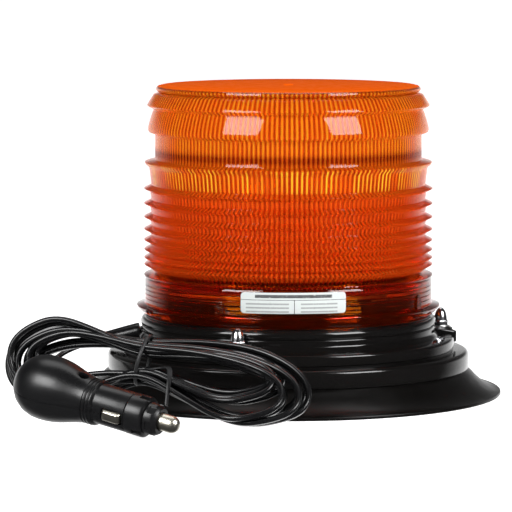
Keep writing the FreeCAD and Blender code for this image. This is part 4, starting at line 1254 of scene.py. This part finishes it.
@dataclass
class Housing:
    """The glossy housing with its ears, and the washers and acorn nuts on them."""

    stud_circle: float = 85.0
    nut_across: float = 7.94
    ear_turns: tuple[float, ...] = (-108.5, 11.5, 131.5)

    def shell(self) -> bpy.types.Object:
        """The housing's turned body."""
        wall = [(86.3, 24.6), (89.1, 24.6), (89.5, 25.0), (89.5, 29.2), (89.3, 29.9),
                (88.8, 30.4), (88.0, 30.6), (82.2, 30.9), (81.4, 31.1), (81.1, 31.6),
                (80.8, 32.1), (79.7, 33.2), (79.4, 33.8), (79.3, 34.3), (79.4, 35.0),
                (79.4, 36.6), (79.2, 37.0), (79.0, 37.2), (79.3, 37.5), (79.5, 38.2),
                (79.7, 39.4), (79.6, 40.2), (79.2, 41.2), (78.6, 41.8), (77.8, 42.0),
                (73.0, 42.0), (71.5, 42.0), (71.5, 55.8), (71.2, 56.0), (69.2, 56.0),
                (69.0, 55.8), (69.0, 39.5), (76.2, 39.5), (76.2, 28.0), (86.3, 28.0)]
        return Bench.lathe("housing_shell", wall, 192, smooth=40)

    def ear(self) -> bpy.types.Object:
        """One ear with its boss, on +X."""
        lug = Bench.prism("ear", [(77.4, -12), (90.2, -12), (91.5, -10.4), (91.5, 10.4),
                                  (90.2, 12), (77.4, 12)], 26.2, 35.0)
        for vertex in lug.data.vertices:
            x, z = vertex.co.x / MM, vertex.co.z / MM
            if z > 31:
                share = (x - 77.4) / (91.5 - 77.4)
                vertex.co.z = (34.8 * (1 - share) + 32.4 * share) * MM
        Bench.bevel(lug, 1.3, 30, 3)
        Bench.soften(lug, 40)
        boss = Bench.lathe("boss", [(0.0, 30.0), (6.6, 30.0), (6.5, 33.0), (6.1, 33.4),
                                    (0.0, 33.4)], 40)
        boss.data.transform(Matrix.Translation((self.stud_circle * MM, 0, 0)))
        return Bench.join("ear", [lug, boss])

    def acorn(self) -> bpy.types.Object:
        """One acorn nut, on +Z at the origin's height."""
        reach = self.nut_across / 2 / math.cos(math.pi / 6)
        corners = [(reach * math.cos(math.radians(60 * k + 12)),
                    reach * math.sin(math.radians(60 * k + 12))) for k in range(6)]
        base = Bench.prism("hexagon", corners, 0.0, 2.9, 0.25)
        dome: Profile = [(0.0, 1.0), (3.5, 1.0), (3.7, 2.7)]
        for k in range(1, 12):
            a = math.radians(90 * k / 12)
            dome.append((3.72 * math.cos(a), 2.7 + 7.2 * math.sin(a) ** 1.05))
        dome.append((0.0, 9.9))
        cap = Bench.lathe("dome", dome, 40)
        skirt = Bench.lathe("chamfer", [(0, 2.2), (4.35, 2.2), (3.8, 3.2), (0, 3.25)], 40)
        Bench.soften(base, 25)
        return Bench.join("acorn", [base, cap, skirt])

    def build(self, paint: Paint) -> None:
        """Make the housing, its ears, the washers and the nuts."""
        shell = self.shell()
        ear = self.ear()
        ears = [Bench.copy(ear, f"ear_{k}", Bench.about_z(turn))
                for k, turn in enumerate(self.ear_turns)]
        bpy.data.objects.remove(ear)
        notch = Bench.block("notch", (-93, -5.8, 23.6), (-78.2, 5.8, 39.0), 1.0)
        Bench.carve(shell, [notch])
        Bench.soften(shell, 40)
        finish_piece(Bench.join("housing_shell", [shell, *ears]), paint.housing, Body.BASE,
                     "black_gloss", "base_housing")
        nut = self.acorn()
        washer = Bench.lathe("washer", rounded([(2.3, 33.4), (5.2, 33.4), (5.2, 34.2), (2.3, 34.2)],
                                               0.25), 40)
        nuts, washers = [], []
        for k, turn in enumerate(self.ear_turns):
            at = Bench.about_z(turn) @ Matrix.Translation((self.stud_circle * MM, 0, 0))
            nuts.append(Bench.copy(nut, f"nut_{k}",
                                   at @ Matrix.Translation((0, 0, 34.2 * MM))))
            washers.append(Bench.copy(washer, f"washer_{k}", at))
        bpy.data.objects.remove(nut)
        bpy.data.objects.remove(washer)
        finish_piece(Bench.join("domed_nuts", nuts), paint.chrome, Body.BASE, "nut_chrome",
                     "acorn_nuts")
        finish_piece(Bench.join("plain_washers", washers), paint.steel, Body.BASE, "steel",
                     "stud_washers")


@dataclass
class SuctionMount:
    """The suction skirt and the enamelled magnet cup."""

    rim: float = 115.0
    cup: float = 97.5

    def skirt(self) -> bpy.types.Object:
        """The rubber skirt, flaring to its rim."""
        outline: Profile = [(60.0, 13.8), (96.5, 13.8)]
        flare = self.rim - self.cup
        for k in range(9):
            t = (k + 1) / 9
            outline.append((self.cup + flare * t * 0.985, 1.7 + 12.1 * (1 - t) ** 1.75))
        outline += [(114.95, 1.1), (114.9, 0.45), (114.5, 0.05), (112.0, 0.0), (111.6, 0.25)]
        for k in range(7):
            t = 1 - (k + 1) / 8
            outline.append((self.cup - 2 + flare * t * 0.9, 0.3 + 10.4 * (1 - t) ** 1.6))
        outline += [(93.9, 11.6), (60.0, 11.8)]
        return Bench.lathe("suction_skirt_rubber", outline, 192)

    def pan(self) -> bpy.types.Object:
        """The magnet cup with its rolled upper edge."""
        outline: Profile = [(3.1, 23.6), (95.0, 23.6)]
        for k in range(6):
            a = math.radians(90 - 90 * (k + 1) / 6)
            outline.append((95.2 + 2.3 * math.cos(a), 21.3 + 2.3 * math.sin(a)))
        outline += [(97.5, 18.0), (97.5, 14.6), (97.2, 14.0), (96.6, 13.8), (60.0, 13.8),
                    (60.0, 16.3), (95.0, 16.3), (95.0, 21.6), (3.1, 21.6)]
        return Bench.lathe("magnet_pan", outline, 192)

    def build(self, paint: Paint) -> None:
        """Make the skirt and the cup."""
        finish_piece(self.skirt(), paint.skirt, Body.BASE, "skirt_rubber", "suction_skirt")
        finish_piece(self.pan(), paint.enamel, Body.BASE, "cup_paint", "magnet_cup")


# --------------------------------------------------------------------------------------------
# Plug


@dataclass
class Plug:
    """The 12 V plug, made along Z and then laid down beside the hank."""

    at: tuple[float, float, float] = (-122.0, -147.0, 22.0)
    yaw: float = -27.0
    pitch: float = 11.4
    roll: float = 195.5

    def lay(self) -> Matrix:
        """Where the plug lies."""
        return (Matrix.Translation(Vector(self.at) * MM)
                @ Matrix.Rotation(math.radians(self.yaw), 4, "Z")
                @ Matrix.Rotation(math.radians(90 + self.pitch), 4, "Y")
                @ Matrix.Rotation(math.radians(self.roll), 4, "Z"))

    def body_outline(self) -> Profile:
        """The shell's outer outline, with its three grooves."""
        outline: Profile = [(0.0, -16.5), (4.5, -16.2), (8.6, -14.8), (12.2, -11.8), (14.9, -7.6),
                            (16.2, -3.2), (16.5, 1.0), (16.4, 4.6), (15.9, 8.6), (15.0, 12.4),
                            (13.9, 16.2), (12.8, 20.0), (12.0, 23.4), (11.7, 25.2)]
        height = 25.8
        for _ in range(3):
            outline += [(11.7, height), (11.2, height + 0.3), (11.2, height + 0.8),
                        (11.6, height + 1.1)]
            height += 1.9
        outline += [(11.2, 31.4), (10.3, 31.8), (10.2, 32.2), (10.2, 49.2), (10.0, 49.6)]
        return outline

    def shells(self) -> list[bpy.types.Object]:
        """The two halves of the shell, parted by a fine seam."""
        inner: Profile = [(8.0, 49.6), (8.0, 23.0), (12.0, 8.0), (12.4, -4.0), (0.0, -14.0)]
        halves = []
        for name, side in (("shell_upper", 1), ("shell_lower", -1)):
            half = Bench.lathe(name, self.body_outline() + inner, 72)
            low = -40 if side > 0 else -0.1
            high = 0.1 if side > 0 else 40
            tools = [Bench.block("parting", (low, -40, -40), (high, 40, 80)),
                     Bench.block("window", (-3.35, -14, 37.05), (3.35, 14, 49.15), 1.2)]
            if side > 0:
                hole = Bench.lathe("screw_hole", [(0, 4), (2.7, 4), (2.7, 24), (0, 24)], 28)
                hole.data.transform(Matrix.Translation((0, 0, 21 * MM))
                                    @ Matrix.Rotation(math.pi / 2, 4, "Y"))
                tools.append(hole)
            Bench.carve(half, tools)
            Bench.bevel(half, 0.22, 50, 2)
            Bench.soften(half, 35)
            halves.append(half)
        return halves

    def collar(self) -> bpy.types.Object:
        """The collar ring with its three notches."""
        ring = Bench.lathe("collar_ring", [(5.8, 49.7), (9.8, 49.7), (10.4, 50.2), (10.4, 58.1),
                                           (10.1, 58.8), (9.4, 59.2), (5.8, 59.2)], 72)
        tools = []
        for k in range(3):
            notch = Bench.block("notch", (8.9, -1.6, 54.2), (12.5, 1.6, 61.0), 0.3)
            notch.data.transform(Bench.about_z(120 * k))
            tools.append(notch)
        Bench.carve(ring, tools)
        Bench.bevel(ring, 0.2, 50, 2)
        return Bench.soften(ring, 35)

    def nose(self) -> bpy.types.Object:
        """The nose cap with its flats."""
        cap = Bench.lathe("nose_ring", [(4.75, 59.5), (8.0, 59.5), (8.2, 59.8), (8.2, 63.6),
                                        (7.9, 64.2), (6.8, 66.1), (6.4, 66.4), (4.75, 66.4)], 72)
        tools = []
        for k in range(6):
            flat = Bench.block("flat", (7.5, -2.2, 61.0), (10, 2.2, 68), 0.2)
            flat.data.transform(Bench.about_z(60 * k + 30))
            tools.append(flat)
        Bench.carve(cap, tools)
        return Bench.soften(cap, 30)

    def tip(self) -> bpy.types.Object:
        """The domed contact tip."""
        outline: Profile = [(0.0, 57.4), (4.2, 57.4), (4.4, 57.6), (4.4, 68.0)]
        for k in range(1, 10):
            a = math.radians(90 * k / 10)
            outline.append((4.4 * math.cos(a) ** 0.8, 71.6 + 4.6 * math.sin(a)))
        outline.append((0.0, 76.2))
        return Bench.lathe("contact_tip", outline, 48)

    def contact(self, name: str, side: int) -> bpy.types.Object:
        """One sprung side contact.

        Args:
            name: The piece's name.
            side: 1 for the front and -1 for the back.

        Returns:
            The contact.
        """
        tab = Bench.block(name, (-3.0, 8.1, 37.4), (3.0, 11.6, 48.8))
        for vertex in tab.data.vertices:
            if vertex.co.y > 10 * MM:
                vertex.co.z += (43.1 * MM - vertex.co.z) * 0.22
                vertex.co.x *= 0.8
        Bench.bevel(tab, 0.9, 20, 4)
        Bench.soften(tab, 40)
        if side < 0:
            tab.data.transform(Bench.about_z(180))
        return tab

    def screw(self) -> bpy.types.Object:
        """The cross-headed screw in the upper shell."""
        head = Bench.lathe("shell_screw", [(0, 4.0), (2.4, 4.0), (2.4, 7.2), (2.0, 7.7), (0, 7.8)],
                           32)
        slots = [Bench.block("slot", (-0.35, -1.6, 7.0), (0.35, 1.6, 8.5)),
                 Bench.block("slot", (-1.6, -0.35, 7.0), (1.6, 0.35, 8.5))]
        Bench.carve(head, slots)
        head.data.transform(Matrix.Translation((0, 0, 21 * MM))
                            @ Matrix.Rotation(math.pi / 2, 4, "Y"))
        return head

    def relief(self) -> bpy.types.Object:
        """The ribbed strain relief behind the bulb."""
        outline: Profile = [(0.0, -2.0), (4.9, -2.0), (5.2, 0.0)]
        for k in range(3):
            wide = 5.2 - 0.38 * k
            outline += [(wide, 0.8 + 2.2 * k), (wide, 1.7 + 2.2 * k), (wide - 0.7, 2.1 + 2.2 * k),
                        (wide - 0.7, 2.6 + 2.2 * k)]
        outline += [(4.1, 7.6), (3.9, 8.0), (0.0, 8.0)]
        sleeve = Bench.lathe("plug_relief_rings", outline, 32, smooth=40)
        turn = (Matrix.Rotation(math.radians(-15.5), 4, "Z")
                @ Matrix.Rotation(math.radians(120), 4, "X"))
        sleeve.data.transform(turn @ Matrix.Translation((0, 0, 15.3 * MM)))
        return sleeve

    def build(self, paint: Paint) -> None:
        """Make the plug's pieces and lay them down."""
        lay = self.lay()
        upper, lower = self.shells()
        pieces = [
            (upper, paint.plug, Body.BASE, "plug_black", "plug_shell_top"),
            (lower, paint.plug, Body.BASE, "plug_black", "plug_shell_bottom"),
            (self.collar(), paint.plug, Body.BASE, "plug_black", "plug_collar_ring"),
            (self.nose(), paint.plug, Body.NOSE, "plug_black", "plug_nose_cap"),
            (self.tip(), paint.nickel, Body.TIP, "nickel", "plug_tip"),
            (self.contact("side_contact_front", 1), paint.nickel, Body.CONTACT_FRONT, "nickel",
             "plug_contact_front"),
            (self.contact("side_contact_back", -1), paint.nickel, Body.CONTACT_BACK, "nickel",
             "plug_contact_back"),
            (self.screw(), paint.steel, Body.BASE, "steel", "plug_shell_screw"),
            (self.relief(), paint.cord, Body.BASE, "cord_black", "plug_relief")]
        for piece, finish, body, slot, node in pieces:
            piece.data.transform(lay)
            finish_piece(piece, finish, body, slot, node)


# --------------------------------------------------------------------------------------------
# What is inside


@dataclass
class Interior:
    """The CAD nodes whose shapes stay, with their finishes."""

    def build(self, paint: Paint) -> None:
        """Dress each node."""
        finishes = {
            paint.steel: ("clamp_ring", "clamp_rivets", "magnet_yoke", "magnet_bolt", "magnet_nut",
                          "base_studs", "housing_screws", "board_screws", "tube_electrodes",
                          "plug_tip_spring"),
            paint.skirt: ("magnet_pad", "mount_gasket", "lens_gasket"),
            paint.ferrite: ("ring_magnet", "transformer_core"),
            paint.satin: ("base_plate", "board_standoffs", "tube_socket", "trigger_coil",
                          "power_transistor", "supply_leads"),
            paint.board: ("circuit_board",),
            paint.post: ("tube_post",),
            paint.glass: ("flash_tube", "plug_fuse"),
            paint.nickel: ("trigger_bands",),
            paint.sleeve: ("flash_capacitor",),
            paint.copper: ("transformer_winding",),
            paint.aluminium: ("heat_sink",)}
        for finish, nodes in finishes.items():
            for node in nodes:
                dress_node(node, finish)


def main() -> None:
    """Build the studio and every sub-assembly."""
    logging.basicConfig(level=logging.INFO, format="%(name)s: %(message)s")
    paint = Paint()
    Studio().build(paint)
    FlatCord().build(paint)
    Lens().build(paint)
    Housing().build(paint)
    SuctionMount().build(paint)
    Plug().build(paint)
    Interior().build(paint)
    Bench.clear()


if __name__ == "__main__":
    main()
